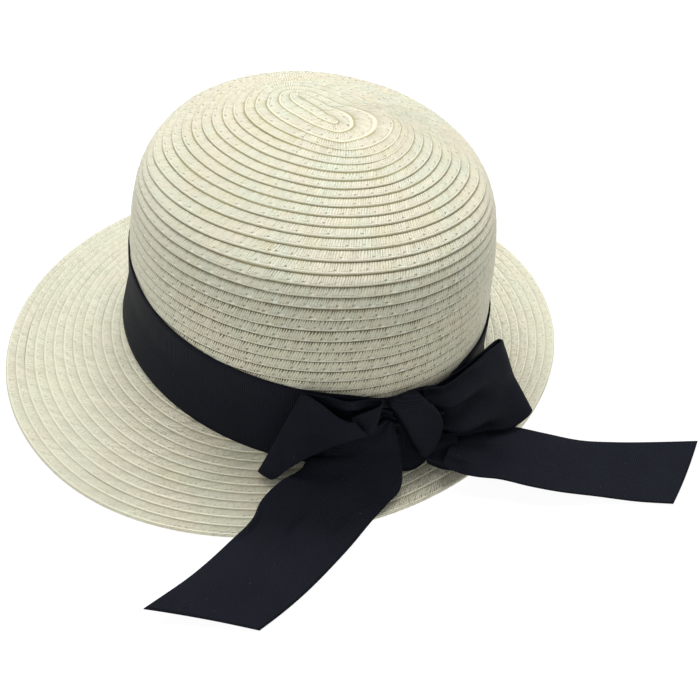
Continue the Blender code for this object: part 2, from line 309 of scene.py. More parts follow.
def read_lines(values: np.ndarray, length: np.ndarray, places: np.ndarray) -> np.ndarray:
    """Values between the points of lines.

    Args:
        values: a vector for each point, with the lines along the first axis.
        length: the way along the line at each point.
        places: ways along the lines at which values are wanted.

    Returns:
        A vector for each place.
    """
    found = np.empty(places.shape + (3,))
    for column in range(values.shape[1]):
        for k in range(3):
            found[:, column, k] = np.interp(places[:, column], length[:, column], values[:, column, k])
    return found


def normals_of(points: np.ndarray) -> np.ndarray:
    """Unit normals of a grid of points that closes along its second axis.

    Args:
        points: the grid.

    Returns:
        A normal for each point.
    """
    down = np.gradient(points, axis=0)
    round_ring = (np.roll(points, -1, axis=1) - np.roll(points, 1, axis=1)) / 2
    normal = np.cross(round_ring, down)
    length = np.linalg.norm(normal, axis=2, keepdims=True)
    return normal / np.maximum(length, 1e-12)


@dataclass(frozen=True)
class HatShape:
    """The hat's sizes in metres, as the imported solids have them, and the surfaces that follow from them."""

    shift: tuple[float, float, float]
    straw_wall: float = 0.0020
    ribbon_wall: float = 0.0010
    clearance: float = 0.0003
    half_width: float = 0.0865
    extra_length: float = 0.0101
    foot_height: float = 0.0172
    dome_height: float = 0.0880
    foot_tilt: tuple[float, float] = (0.093, -0.063)
    lean: tuple[float, float] = (-0.057, 0.017)
    rim_half_width: float = 0.1461
    rim_front: float = 0.1414
    rim_back: float = 0.1284
    rim_centre: tuple[float, float] = (0.0021, -0.0099)
    rim_land: float = 0.0025
    ribbon_width: float = 0.0442
    band_seat: float = 0.0010
    joint_rise: float = 0.0053
    bow_angle: float = math.radians(82)

    def leaned(self, x: np.ndarray, y: np.ndarray, z: np.ndarray) -> np.ndarray:
        """Points with the crown's slight sideways lean, which grows with the height."""
        x, y, z = np.broadcast_arrays(x, y, z)
        return np.stack([x + self.lean[0] * z, y + self.lean[1] * z, z], axis=-1)

    def side(self, theta: np.ndarray, rise: np.ndarray, out: float = 0.0) -> np.ndarray:
        """Points on the crown's side.

        Args:
            theta: angles round the crown.
            rise: heights above the foot.
            out: how far the points stand out from the straw.

        Returns:
            The points, in the hat's coordinates.
        """
        theta, rise = np.broadcast_arrays(np.asarray(theta, float), np.asarray(rise, float))
        rises, radii = np.transpose(SIDE_TABLE)
        half = self.half_width * np.interp(rise / self.ribbon_width, rises, radii) + out
        x = half * np.cos(theta)
        y = (half + self.extra_length) * np.sin(theta)
        height = self.foot_height + rise + self.foot_tilt[0] * x + self.foot_tilt[1] * y
        return self.leaned(x, y, height)

    def rise_of(self, points: np.ndarray) -> np.ndarray:
        """How high points lie above the tilted foot.

        Args:
            points: points in the hat's coordinates.

        Returns:
            A height for each point.
        """
        x = points[..., 0] - self.lean[0] * points[..., 2]
        y = points[..., 1] - self.lean[1] * points[..., 2]
        return points[..., 2] - self.foot_height - self.foot_tilt[0] * x - self.foot_tilt[1] * y

    def dome(self, theta: np.ndarray, height_share: float, radius_share: float) -> np.ndarray:
        """Points of one level ring of the dome.

        Args:
            theta: angles round the crown.
            height_share: the ring's height above the ribbon, as a share of the dome.
            radius_share: its radius, as a share of the half width.

        Returns:
            The points, in the hat's coordinates.
        """
        half = self.half_width * radius_share
        x = half * np.cos(theta)
        y = (half + self.extra_length) * np.sin(theta)
        height = self.foot_height + self.ribbon_width + self.dome_height * height_share
        return self.leaned(x, y, np.full_like(x, height))

    def meridians(self, theta: np.ndarray, steps: int) -> np.ndarray:
        """Smooth lines down the crown, from the top to the foot.

        Args:
            theta: the angle of each line.
            steps: how many points a line has.

        Returns:
            Points, with the way down along the first axis.
        """
        rings = [self.side(theta, self.ribbon_width * share) for share, _ in SIDE_TABLE]
        rings += [self.dome(theta, high, wide) for high, wide in DOME_TABLE]
        rings = np.array(rings)
        knots = ways(rings[:, 0])
        return spline(knots, rings, np.linspace(knots[-2], 0.0, steps))

    def top_height(self, x: np.ndarray, y: np.ndarray) -> np.ndarray:
        """The height of the crown's upper face near its tip.

        Args:
            x: places along X in the hat's coordinates.
            y: places along Y.

        Returns:
            A height for each place.
        """
        profile = self.meridians(np.zeros(1), 400)[:, 0]
        half = profile[:, 0] - self.lean[0] * profile[:, 2]
        widest = int(np.argmax(half > 0.9 * self.half_width))
        half, heights = half[:widest], profile[:widest, 2]
        z = np.full(np.shape(x), heights[0])
        for _ in range(6):
            across, along = x - self.lean[0] * z, y - self.lean[1] * z
            low, high = np.full(np.shape(x), 1e-7), np.full(np.shape(x), self.half_width)
            for _ in range(40):
                middle = (low + high) / 2
                outside = (across / middle) ** 2 + (along / (middle + self.extra_length)) ** 2 > 1
                low, high = np.where(outside, middle, low), np.where(outside, high, middle)
            z = np.interp(low, half, heights)
        return z

    def rim(self, theta: np.ndarray, height: float) -> np.ndarray:
        """Points of the rim's oval, which is longer in front than at the back.

        Args:
            theta: angles round the oval.
            height: the points' height.

        Returns:
            The points, in the hat's coordinates.
        """
        theta = np.asarray(theta, float)
        length = np.where(np.sin(theta) > 0, self.rim_back, self.rim_front)
        x = self.rim_centre[0] + self.rim_half_width * np.cos(theta)
        y = self.rim_centre[1] + length * np.sin(theta)
        return np.stack([x, y, np.full_like(x, height)], axis=-1)

    def brim_way(self, theta: np.ndarray) -> tuple[np.ndarray, np.ndarray, np.ndarray, np.ndarray]:
        """The way out over the brim.

        Args:
            theta: angles round the hat.

        Returns:
            The foot, the rim's upper edge, the level direction between them and its length.
        """
        foot = self.side(theta, 0.0)
        rim = self.rim(theta, self.straw_wall)
        way = (rim - foot) * (1.0, 1.0, 0.0)
        length = np.linalg.norm(way, axis=-1)
        return foot, rim, way / length[..., None], length

    def brim_top(self, theta: np.ndarray, share: np.ndarray) -> np.ndarray:
        """Points on the brim's upper face.

        Args:
            theta: angles round the hat.
            share: shares of the way from the foot to the rim.

        Returns:
            The points, in the hat's coordinates.
        """
        foot, rim, _, _ = self.brim_way(theta)
        shares, drops = np.transpose(BRIM_TABLE)
        drop = spline(shares, drops, np.atleast_1d(share)).reshape(np.shape(share))
        out = np.asarray(share, float)
        return foot + (rim - foot) * np.stack([out, out, drop], axis=-1)

    def on_band(self, along: np.ndarray, rise: np.ndarray, out: np.ndarray) -> np.ndarray:
        """Points beside the crown's side.

        Args:
            along: places along the band from the bow's middle.
            rise: heights above the foot.
            out: how far the points stand out from the straw.

        Returns:
            The points, in the hat's coordinates.
        """
        theta = self.bow_angle - np.asarray(along, float) / (self.half_width + self.extra_length / 2)
        return self.side(theta, rise) + np.asarray(out, float)[..., None] * outward(theta)


class Wire:
    """One value in a material, on which arithmetic adds Math nodes."""

    def __init__(self, graph: "Graph", socket: bpy.types.NodeSocket) -> None:
        """Wrap a socket of the graph."""
        self.graph = graph
        self.socket = socket

    def math(self, operation: str, *others: "Wire | float", first: bool = True) -> "Wire":
        """A Math node on this value and others.

        Args:
            operation: the node's operation.
            others: the other values.
            first: whether this value is the first one.

        Returns:
            The node's value.
        """
        values = [self, *others] if first else [*others, self]
        node = self.graph.node("Math", {"operation": operation}, dict(enumerate(values)))
        return Wire(self.graph, node.outputs[0])

    def __add__(self, other: "Wire | float") -> "Wire":
        """This value plus another."""
        return self.math("ADD", other)

    def __radd__(self, other: float) -> "Wire":
        """A number plus this value."""
        return self.math("ADD", other)

    def __sub__(self, other: "Wire | float") -> "Wire":
        """This value minus another."""
        return self.math("SUBTRACT", other)

    def __rsub__(self, other: float) -> "Wire":
        """A number minus this value."""
        return self.math("SUBTRACT", other, first=False)

    def __mul__(self, other: "Wire | float") -> "Wire":
        """This value times another."""
        return self.math("MULTIPLY", other)

    def __rmul__(self, other: float) -> "Wire":
        """A number times this value."""
        return self.math("MULTIPLY", other)

    def __truediv__(self, other: "Wire | float") -> "Wire":
        """This value divided by another."""
        return self.math("DIVIDE", other)

    def floor(self) -> "Wire":
        """The whole number below this value."""
        return self.math("FLOOR")

    def fraction(self) -> "Wire":
        """What this value has past its whole number."""
        return self.math("FRACT")

    def size(self) -> "Wire":
        """This value without its sign."""
        return self.math("ABSOLUTE")

    def sine(self) -> "Wire":
        """The sine of this value in turns."""
        return (self * math.tau).math("SINE")

    def least(self, other: "Wire | float") -> "Wire":
        """The smaller of two values."""
        return self.math("MINIMUM", other)

    def most(self, other: "Wire | float") -> "Wire":
        """The larger of two values."""
        return self.math("MAXIMUM", other)

    def ramp(self, low: float, high: float) -> "Wire":
        """0 where this value is at low, 1 at high and smooth between, whichever is the larger.

        Args:
            low: where 0 is reached.
            high: where 1 is reached.

        Returns:
            The new value.
        """
        settings = {"interpolation_type": "SMOOTHSTEP"}
        if low < high:
            inputs = {"Value": self, "From Min": low, "From Max": high}
        else:
            inputs = {"Value": self, "From Min": high, "From Max": low, "To Min": 1.0, "To Max": 0.0}
        return Wire(self.graph, self.graph.node("MapRange", settings, inputs).outputs[0])


class Graph:
    """The nodes of one material."""

    def __init__(self, name: str) -> None:
        """Start a material with its Principled shader.

        Args:
            name: the material's name.
        """
        self.material = bpy.data.materials.new(name)
        self.material.use_nodes = True
        self.nodes = self.material.node_tree.nodes
        self.links = self.material.node_tree.links
        self.shader = self.nodes["Principled BSDF"]

    def fill(self, node: bpy.types.Node, inputs: dict) -> None:
        """Fill a node's inputs.

        Args:
            node: the node.
            inputs: wires or sockets to link, and numbers or colours to set, by input name or index.
        """
        for name, value in inputs.items():
            value = value.socket if isinstance(value, Wire) else value
            if isinstance(value, bpy.types.NodeSocket):
                self.links.new(value, node.inputs[name])
            else:
                node.inputs[name].default_value = value

    def node(self, kind: str, settings: dict | None = None, inputs: dict | None = None) -> bpy.types.Node:
        """A node with its settings made first and its inputs filled after.

        Args:
            kind: the node's type, without its first words.
            settings: properties of the node.
            inputs: what fills its inputs.

        Returns:
            The node.
        """
        node = self.nodes.new("ShaderNode" + kind)
        for name, value in (settings or {}).items():
            setattr(node, name, value)
        self.fill(node, inputs or {})
        return node

    def parts(self, vector: bpy.types.NodeSocket) -> list[Wire]:
        """The three parts of a vector."""
        node = self.node("SeparateXYZ", None, {"Vector": vector})
        return [Wire(self, socket) for socket in node.outputs]

    def map_wires(self, name: str) -> list[Wire]:
        """The two coordinates of a UV map."""
        return self.parts(self.node("UVMap", {"uv_map": name}).outputs["UV"])[:2]

    def object_place(self) -> bpy.types.NodeSocket:
        """The place on the object, in metres."""
        return self.node("TexCoord").outputs["Object"]

    def vector(self, x: Wire | float, y: Wire | float, z: Wire | float) -> bpy.types.NodeSocket:
        """A vector of three values."""
        return self.node("CombineXYZ", None, {"X": x, "Y": y, "Z": z}).outputs["Vector"]

    def noise(self, place: bpy.types.NodeSocket, scale: float, detail: float = 2.0) -> Wire:
        """Cloudy noise between 0 and 1."""
        inputs = {"Vector": place, "Scale": scale, "Detail": detail}
        return Wire(self, self.node("TexNoise", {"noise_dimensions": "3D"}, inputs).outputs[0])

    def grain(self, x: Wire, y: Wire, z: Wire | float, detail: float = 2.0) -> Wire:
        """Cloudy noise over three values, with clouds about one unit long."""
        return self.noise(self.vector(x, y, z), 1.0, detail)

    def chance(self, x: Wire, y: Wire | float, z: float) -> Wire:
        """A number between 0 and 1 that is another one for any other three values."""
        node = self.node("TexWhiteNoise", {"noise_dimensions": "3D"}, {"Vector": self.vector(x, y, z)})
        return Wire(self, node.outputs["Value"])

    def mix(self, share: Wire | float, near: object, far: object) -> bpy.types.NodeSocket:
        """A colour between two colours.

        Args:
            share: 0 for the first colour, 1 for the second.
            near: the first colour.
            far: the second colour.

        Returns:
            The colour's socket.
        """
        settings = {"data_type": "RGBA", "clamp_factor": True}
        return self.node("Mix", settings, {0: share, 6: near, 7: far}).outputs[2]

    def surface(self, tint: bpy.types.NodeSocket, height: Wire, depth: float,
                roughness: float, gloss: float) -> bpy.types.Material:
        """Fill the shader.

        Args:
            tint: the surface's colour.
            height: its fine relief, between 0 and 1.
            depth: how deep the relief is, in metres.
            roughness: its roughness.
            gloss: how strongly it mirrors.

        Returns:
            The material.
        """
        bump = self.node("Bump", None, {"Height": height, "Distance": depth, "Strength": 1.0})
        self.fill(self.shader, {"Base Color": tint, "Normal": bump.outputs["Normal"],
                                "Roughness": roughness, "Specular IOR Level": gloss})
        return self.material


@dataclass(frozen=True)
class StrawFinish:
    """Matt paper straw braid: ribbed rows with a rolled edge, a line of stitches and a seam, partly painted
    with light and shade.

    Pitches, sizes and heights are in metres; strengths and depths are shares of a layer's full effect. slant
    is how many strands the comb leans over across a row, and taper how fast its slits narrow. A range runs
    from where a layer starts to show to where it shows fully. On the hat's two sides as the camera sees them,
    the braid is plainer and painted shade darkens it. A phase is a place across a row from 0 to 1. A strip
    starts, shows fully, fades and ends at four phases. The dashes lie dash_step dot widths beside the dots,
    and the larger dash_squash is, the shorter they are.
    """

    name: str
    stitch_pitch: float
    row_pitch: float
    slant: float
    taper: float = 1.5
    # How strongly painted shade darkens the comb's slits
    comb_shade_depth: float = 0.80
    dash_strength: float = 0.90
    rib_pitch: float = 0.00130
    rib_strength: float = 0.20
    ivory: Colour = (0.69, 0.670, 0.535, 1.0)
    cool: Colour = (0.66, 0.675, 0.545, 1.0)
    warm: Colour = (0.71, 0.660, 0.530, 1.0)
    straw: Colour = (0.69, 0.655, 0.450, 1.0)
    # Painted shade in the seams at the crown's tip and on the brim; also the colour of darker flecks,
    # strands, lines and ribs
    seam: Colour = (0.36, 0.32, 0.15, 1.0)
    # Painted shade in the comb's slits and the stitch holes, and in the seams on the crown's wall
    gap: Colour = (0.12, 0.095, 0.050, 1.0)
    thread: Colour = (1.0, 0.985, 0.85, 1.0)
    # Painted light that makes the crown's lower wall lighter
    painted_wall_light: Colour = (1.0, 0.975, 0.70, 1.0)
    # Painted shade on the hat's two sides as the camera sees them
    calm_tint: Colour = (0.62, 0.606, 0.482, 1.0)
    # How strongly a painted highlight lightens each row's rolled edge
    roll_highlight_strength: float = 0.15
    # How strongly the painted light on the lower wall and the darker painted shade in the wall's seams show
    wall_shade: float = 0.0
    # How strongly painted shade darkens the seams
    seam_shade_depth: float = 0.90
    # How strongly painted shade darkens the stitch holes
    hole_shade_strength: float = 0.65
    # Where sideways, as the camera sees it, the marks flatten and painted shade sets in, and how strongly
    calm_side: Range = (0.060, 0.088)
    calmness: float = 0.5
    # Where at the tip the seams' painted shade is kept faint
    flat_side: Range = (-0.040, -0.046)
    flat_height: Range = (0.139, 0.146)
    wall_height: Range = (0.135, 0.095)
    # Heights over which the painted light on the lower wall grows
    foot_height: Range = (0.115, 0.080)
    dot_width: float = 0.00075
    dot_height: float = 0.00050
    line_width: float = 0.00032
    dot_phase: float = 0.62
    dot_scatter: float = 0.10
    dash_phase: float = 0.765
    dash_scatter: float = 0.05
    dash_step: float = 1.9
    dash_squash: float = 0.28
    line_phase: float = 0.775
    rib_strip: Strip = (0.02, 0.10, 0.74, 0.90)
    streak_strip: Strip = (0.50, 0.66, 0.90, 0.97)
    roll_strip: Strip = (0.78, 0.88, 0.94, 0.975)
    # Phases over which a seam's painted shade fades, above and below it
    upper_seam: Range = (0.10, 0.0)
    lower_seam: Range = (0.962, 0.990)
    relief_depth: float = 0.0008
    roughness: float = 0.62
    gloss: float = 0.22

    def material(self) -> bpy.types.Material:
        """The finish as a material."""
        return StrawLayers(self).build()


class StrawLayers(Graph):
    """The nodes of a straw finish. A layer is 1 where it shows fully and 0 where it doesn't show.

    along is the way along the braid in metres. row is the row's number, and phase runs across the row from
    0 at its tucked upper edge to 1 at its lower edge. wall is 0 at the crown's tip and 1 on its wall. tooth
    is 0 in the middle of a strand of the comb and 1 between two, and edge is 1 between two strands. odd and
    reach are chance numbers, one for each strand. Numbers between the layers' names say how far one layer
    moves or thins another.
    """

    def __init__(self, finish: StrawFinish) -> None:
        """Make the wires that the layers share.

        Args:
            finish: the measures and colours.
        """
        super().__init__(finish.name)
        self.finish = finish
        self.along, self.across = self.map_wires(ROWS_MAP)
        self.place = self.object_place()
        self.x, self.y, self.z = self.parts(self.place)
        self.row = self.across.floor()
        self.phase = self.across - self.row
        self.wall = self.z.ramp(*finish.wall_height)
        self.shade = self.row_noise(per_metre=60.0, per_row=5.1, start=9.0)
        self.drift = self.row_noise(per_metre=150.0, per_row=1.7, start=2.0)
        self.fleck = self.fine_noise(per_metre=1100.0, per_row=6.0, detail=3.0)
        strand = self.along / finish.rib_pitch + self.phase * finish.slant
        strand = strand + self.drift * 2.5 + self.fleck * 0.30
        number = (strand + 0.5).floor()
        self.odd = self.chance(number, self.row, 0.0)
        self.reach = self.chance(number, self.row, 5.0)
        self.tooth = (strand.fraction() - 0.5).size() * 2.0
        self.edge = (self.tooth + (self.odd - 0.5) * 0.4).ramp(0.45, 0.95)

    def row_noise(self, per_metre: float, per_row: float, start: float) -> Wire:
        """Noise that changes along the braid and from row to row, but not across a row."""
        return self.grain(self.along * per_metre, self.row * per_row, start)

    def fine_noise(self, per_metre: float, per_row: float, detail: float = 2.0) -> Wire:
        """Noise that changes along the braid and across each row."""
        return self.grain(self.along * per_metre, self.across * per_row, self.row, detail)

    def on_wall(self, elsewhere: float) -> Wire:
        """1 on the crown's wall, and a smaller number at its tip."""
        return self.wall * (1.0 - elsewhere) + elsewhere

    def along_row(self, starts: float, full: float, fades: float, ends: float) -> Wire:
        """A strip along every row, which shows fully from one phase to another."""
        return self.phase.ramp(starts, full) * self.phase.ramp(ends, fades)

    def spot(self, side_square: Wire, rise: Wire, ends: float, full: float) -> Wire:
        """An oval spot round a place, which shows fully up to one distance and fades out to another."""
        return (side_square + rise * rise).math("SQRT").ramp(ends, full)

    def slits(self) -> Wire:
        """Painted shade in the comb's slits between strands, which narrow from the row's upper edge
        downwards.

        Returns:
            The layer.
        """
        loose = self.row_noise(per_metre=75.0, per_row=2.3, start=4.0).ramp(0.30, 0.72)
        wedge = self.tooth - self.phase * (self.reach + self.finish.taper) + (self.odd - 0.5) * 0.35
        depth = (self.odd * 0.5 + loose * 0.5 + 0.3).least(1.0)
        return (wedge - self.wall * self.phase * 0.4).ramp(0.05, 0.50) * depth * self.on_wall(0.28)

    def seams(self) -> Wire:
        """Painted shade in the seam under each row's lower edge.

        Returns:
            The layer.
        """
        jag = self.phase - self.edge * 0.09 - (self.shade - 0.5) * 0.06
        lower = (self.phase + self.edge * 0.012 + self.wall * 0.022).ramp(*self.finish.lower_seam)
        return (jag - self.wall * 0.05).ramp(*self.finish.upper_seam).most(lower)

    def flat_tip(self) -> Wire:
        """The side of the tip where the seams' painted shade is kept faint, as the rows lie so flat there."""
        return self.x.ramp(*self.finish.flat_side) * self.z.ramp(*self.finish.flat_height) * 0.8

    def stitches(self) -> tuple[Wire, Wire]:
        """The stitches.

        Returns:
            Their holes, darkened with painted shade, and the light dashes of thread beside them.
        """
        finish = self.finish
        place = self.along / finish.stitch_pitch + self.chance(self.row, 3.0, 1.0) + (self.drift - 0.5) * 0.35
        luck = self.chance(place.floor(), self.row, 7.0)
        side = (place.fraction() - 0.5) * (finish.stitch_pitch / finish.dot_width)
        row_height = finish.row_pitch / finish.dot_height
        rise = (self.phase - finish.dot_phase - luck * finish.dot_scatter) * row_height
        dots = self.spot(side * side, rise, 1.25, 0.25) * luck.ramp(-0.2, 0.7)
        side = side + finish.dash_step
        rise = (self.phase - finish.dash_phase - luck * finish.dash_scatter) * row_height
        dashes = self.spot(side * side * finish.dash_squash, rise, 1.5, 0.3) * luck.ramp(0.05, 0.5)
        return dots, dashes * self.on_wall(0.3) * finish.dash_strength

    def build(self) -> bpy.types.Material:
        """Lay the layers over each other.

        Returns:
            The material.
        """
        finish = self.finish
        slits, seams, (dots, dashes) = self.slits(), self.seams(), self.stitches()
        ribs = self.edge * self.along_row(*finish.rib_strip)
        line = self.phase - finish.line_phase + (self.shade - 0.5) * 0.04
        line = line * (finish.row_pitch / finish.line_width)
        line = line.size().ramp(1.0, 0.2) * (0.4 + self.edge * 0.6)
        streaks = self.fine_noise(per_metre=420.0, per_row=34.0).ramp(0.50, 0.66)
        streaks = streaks * self.along_row(*finish.streak_strip) * self.on_wall(0.25) * finish.dash_strength
        # Painted highlight along each row's rolled edge
        roll = self.along_row(*finish.roll_strip) * (1.0 - self.edge * 0.5) * self.on_wall(0.3)
        patches = self.row_noise(per_metre=90.0, per_row=3.7, start=0.0).ramp(0.40, 0.60)
        clouds = self.noise(self.place, 30.0).ramp(0.42, 0.62)
        # Painted light on the crown's lower wall
        foot = self.z.ramp(*finish.foot_height)
        # Painted shade and flatter marks on the hat's two sides as the camera sees them
        calm = sideways(self.x, self.y).size().ramp(*finish.calm_side) * finish.calmness
        # Painted shade for the seams, darker on the crown's wall
        painted_seam_shade = self.mix(self.wall * finish.wall_shade, finish.seam, finish.gap)
        # Each colour is laid over the ones before: among them are painted highlights, painted light and
        # painted shade
        tint = finish.ivory
        for share, colour in (
            (patches, finish.cool),
            (clouds, finish.warm),
            (self.shade.ramp(0.45, 0.75) * 0.5, finish.straw),
            (self.fleck.ramp(0.55, 0.25) * 0.30, finish.seam),
            ((self.odd - 0.5).most(0.0) * 0.10, finish.seam),
            (foot * finish.wall_shade * 0.30, finish.painted_wall_light),
            (roll * finish.roll_highlight_strength, finish.thread),
            (streaks * 0.55, finish.thread),
            (line * 0.30, finish.seam),
            (ribs * self.on_wall(0.2) * finish.rib_strength, finish.seam),
            (slits * finish.comb_shade_depth, finish.gap),
            (dots * self.on_wall(0.5) * finish.hole_shade_strength, finish.gap),
            (dashes, finish.thread),
            (seams * finish.seam_shade_depth * (1.0 - self.flat_tip()), painted_seam_shade),
            (calm, finish.calm_tint),
        ):
            tint = self.mix(share, tint, colour)
        height = self.fleck * 0.35 - ribs * 0.35 - slits * 0.6 - dots * 0.8 + dashes * 0.5 + streaks * 0.15
        height = 0.6 + (height - line * 0.3) * (1.0 - calm)
        return self.surface(tint, height, finish.relief_depth, finish.roughness, finish.gloss)


@dataclass(frozen=True)
class RibbonFinish:
    """Blue-black ribbed ribbon with a faint sheen and a little lint."""

    name: str = "ribbon"
    rib_pitch: float = 0.0010
    rib_depth: float = 0.0002
    dark: Colour = (0.0036, 0.0042, 0.0070, 1.0)
    light: Colour = (0.0120, 0.0139, 0.0217, 1.0)
    lint: Colour = (0.35, 0.37, 0.42, 1.0)
    roughness: float = 0.60
    gloss: float = 0.06

    def material(self) -> bpy.types.Material:
        """The finish as a material.

        Returns:
            The material.
        """
        graph = Graph(self.name)
        along, across = graph.map_wires(WEAVE_MAP)
        thread = graph.grain(along * 3000.0, across * 500.0, 0.0)
        ribs = (along / self.rib_pitch + thread * 0.15).sine() * 0.5 + 0.5
        clouds = graph.noise(graph.object_place(), 60.0, 3.0)
        lint = graph.noise(graph.object_place(), 1400.0, 1.0).ramp(0.80, 0.84)
        tint = graph.mix(ribs * 0.55 + clouds * 0.45, self.dark, self.light)
        tint = graph.mix(lint * 0.5, tint, self.lint)
        return graph.surface(tint, ribs * 0.7 + thread * 0.3, self.rib_depth, self.roughness, self.gloss)


class MeshMaker:
    """Turns grids of points with map coordinates into one closed mesh object."""

    def __init__(self, shift: tuple[float, float, float]) -> None:
        """Start empty.

        Args:
            shift: what brings the hat's coordinates into the frame.
        """
        self.shift = np.array(shift)
        self.points: list[np.ndarray] = []
        self.corners: list[np.ndarray] = []
        self.maps: list[np.ndarray] = []
        self.count = 0

    def add_grid(self, points: np.ndarray, maps: np.ndarray, closed_step: int | None = None) -> None:
        """Add the quads of a grid.

        Args:
            points: the grid's points.
            maps: map coordinates of each quad's four corners, rows by columns by 4 by 2.
            closed_step: if given, the last column joins the first one, that many rows further down.
        """
        rows, columns = points.shape[:2]
        index = np.arange(rows * columns).reshape(rows, columns) + self.count
        if closed_step is not None:
            following = np.roll(index, -1, axis=1)
            wrapped = np.clip(np.arange(rows) + closed_step, 0, rows - 1)
            following[:, -1] = index[wrapped, 0]
        else:
            following, index = index[:, 1:], index[:, :-1]
        quads = np.stack([index[:-1], following[:-1], following[1:], index[1:]], axis=-1)
        self.points.append(points.reshape(-1, 3))
        self.corners.append(quads.reshape(-1, 4))
        self.maps.append(np.asarray(maps, float).reshape(-1, 4, 2))
        self.count += rows * columns

    def finish(self, name: str, map_name: str) -> bpy.types.Object:
        """One object of all that was added, with points at one place joined.

        Args:
            name: the object's name.
            map_name: the UV map's name.

        Returns:
            The object, at the frame's origin.
        """
        points = np.concatenate(self.points) + self.shift
        corners = np.concatenate(self.corners)
        cells = np.round(points / SAME_POINT).astype(np.int64)
        _, first, place = np.unique(cells, axis=0, return_index=True, return_inverse=True)
        points, corners = points[first], place.reshape(-1)[corners]
        faces, kept_maps = [], []
        for quad, quad_maps in zip(corners.tolist(), np.concatenate(self.maps)):
            kept = [k for k in range(4) if quad[k] != quad[k - 1]]
            if len(kept) > 2 and len({quad[k] for k in kept}) == len(kept):
                faces.append([quad[k] for k in kept])
                kept_maps.append(quad_maps[kept])
        mesh = bpy.data.meshes.new(name)
        mesh.from_pydata(points.tolist(), [], faces)
        layer = mesh.uv_layers.new(name=map_name)
        layer.data.foreach_set("uv", np.concatenate(kept_maps).astype(np.float32).ravel())
        mesh.validate()
        item = bpy.data.objects.new(name, mesh)
        bpy.context.scene.collection.objects.link(item)
        return item


def corner_maps(near: np.ndarray, far: np.ndarray, top: np.ndarray, low: np.ndarray) -> np.ndarray:
    """Map coordinates of the four corners of each quad of a grid.

    Args:
        near: the first coordinate at the quads' near ends.
        far: the first coordinate at their far ends.
        top: the second coordinate at their upper edges.
        low: the second coordinate at their lower edges.

    Returns:
        The coordinates, rows by columns by 4 by 2.
    """
    near, far, top, low = np.broadcast_arrays(near, far, top, low)
    corners = ((near, top), (far, top), (far, low), (near, low))
    return np.stack([np.stack(corner, axis=-1) for corner in corners], axis=2)


def ring_maps(points: np.ndarray, levels: np.ndarray) -> np.ndarray:
    """Map coordinates of closed rings: metres round each ring, and its level.

    Args:
        points: the rings' points.
        levels: a number for each ring.

    Returns:
        The coordinates of each quad's corners.
    """
    steps = np.linalg.norm(np.roll(points, -1, axis=1) - points, axis=2)
    ends = np.concatenate([np.zeros((len(points), 1)), np.cumsum(steps, axis=1)], axis=1)
    return corner_maps(ends[:-1, :-1], ends[:-1, 1:], levels[:-1, None], levels[1:, None])


def choose(item: bpy.types.Object) -> None:
    """Make an object the only selected and active one.

    Args:
        item: the object.
    """
    bpy.ops.object.select_all(action="DESELECT")
    item.select_set(True)
    bpy.context.view_layer.objects.active = item


@dataclass
class Piece:
    """What every piece of the hat has: the hat's sizes and the piece's material."""

    shape: HatShape
    material: bpy.types.Material

    def dress(self, item: bpy.types.Object, slot: str, node: str) -> bpy.types.Object:
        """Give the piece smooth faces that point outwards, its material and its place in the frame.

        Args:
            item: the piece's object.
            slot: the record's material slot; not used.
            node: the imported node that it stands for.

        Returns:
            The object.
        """
        choose(item)
        bpy.ops.object.mode_set(mode="EDIT")
        bpy.ops.mesh.select_all(action="SELECT")
        bpy.ops.mesh.normals_make_consistent(inside=False)
        bpy.ops.object.mode_set(mode="OBJECT")
        bpy.ops.object.shade_smooth()
        item.data.materials.clear()
        item.data.materials.append(self.material)
        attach(item, "root")
        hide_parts(node)
        log.info("%s: %d faces", item.name, len(item.data.polygons))
        return item


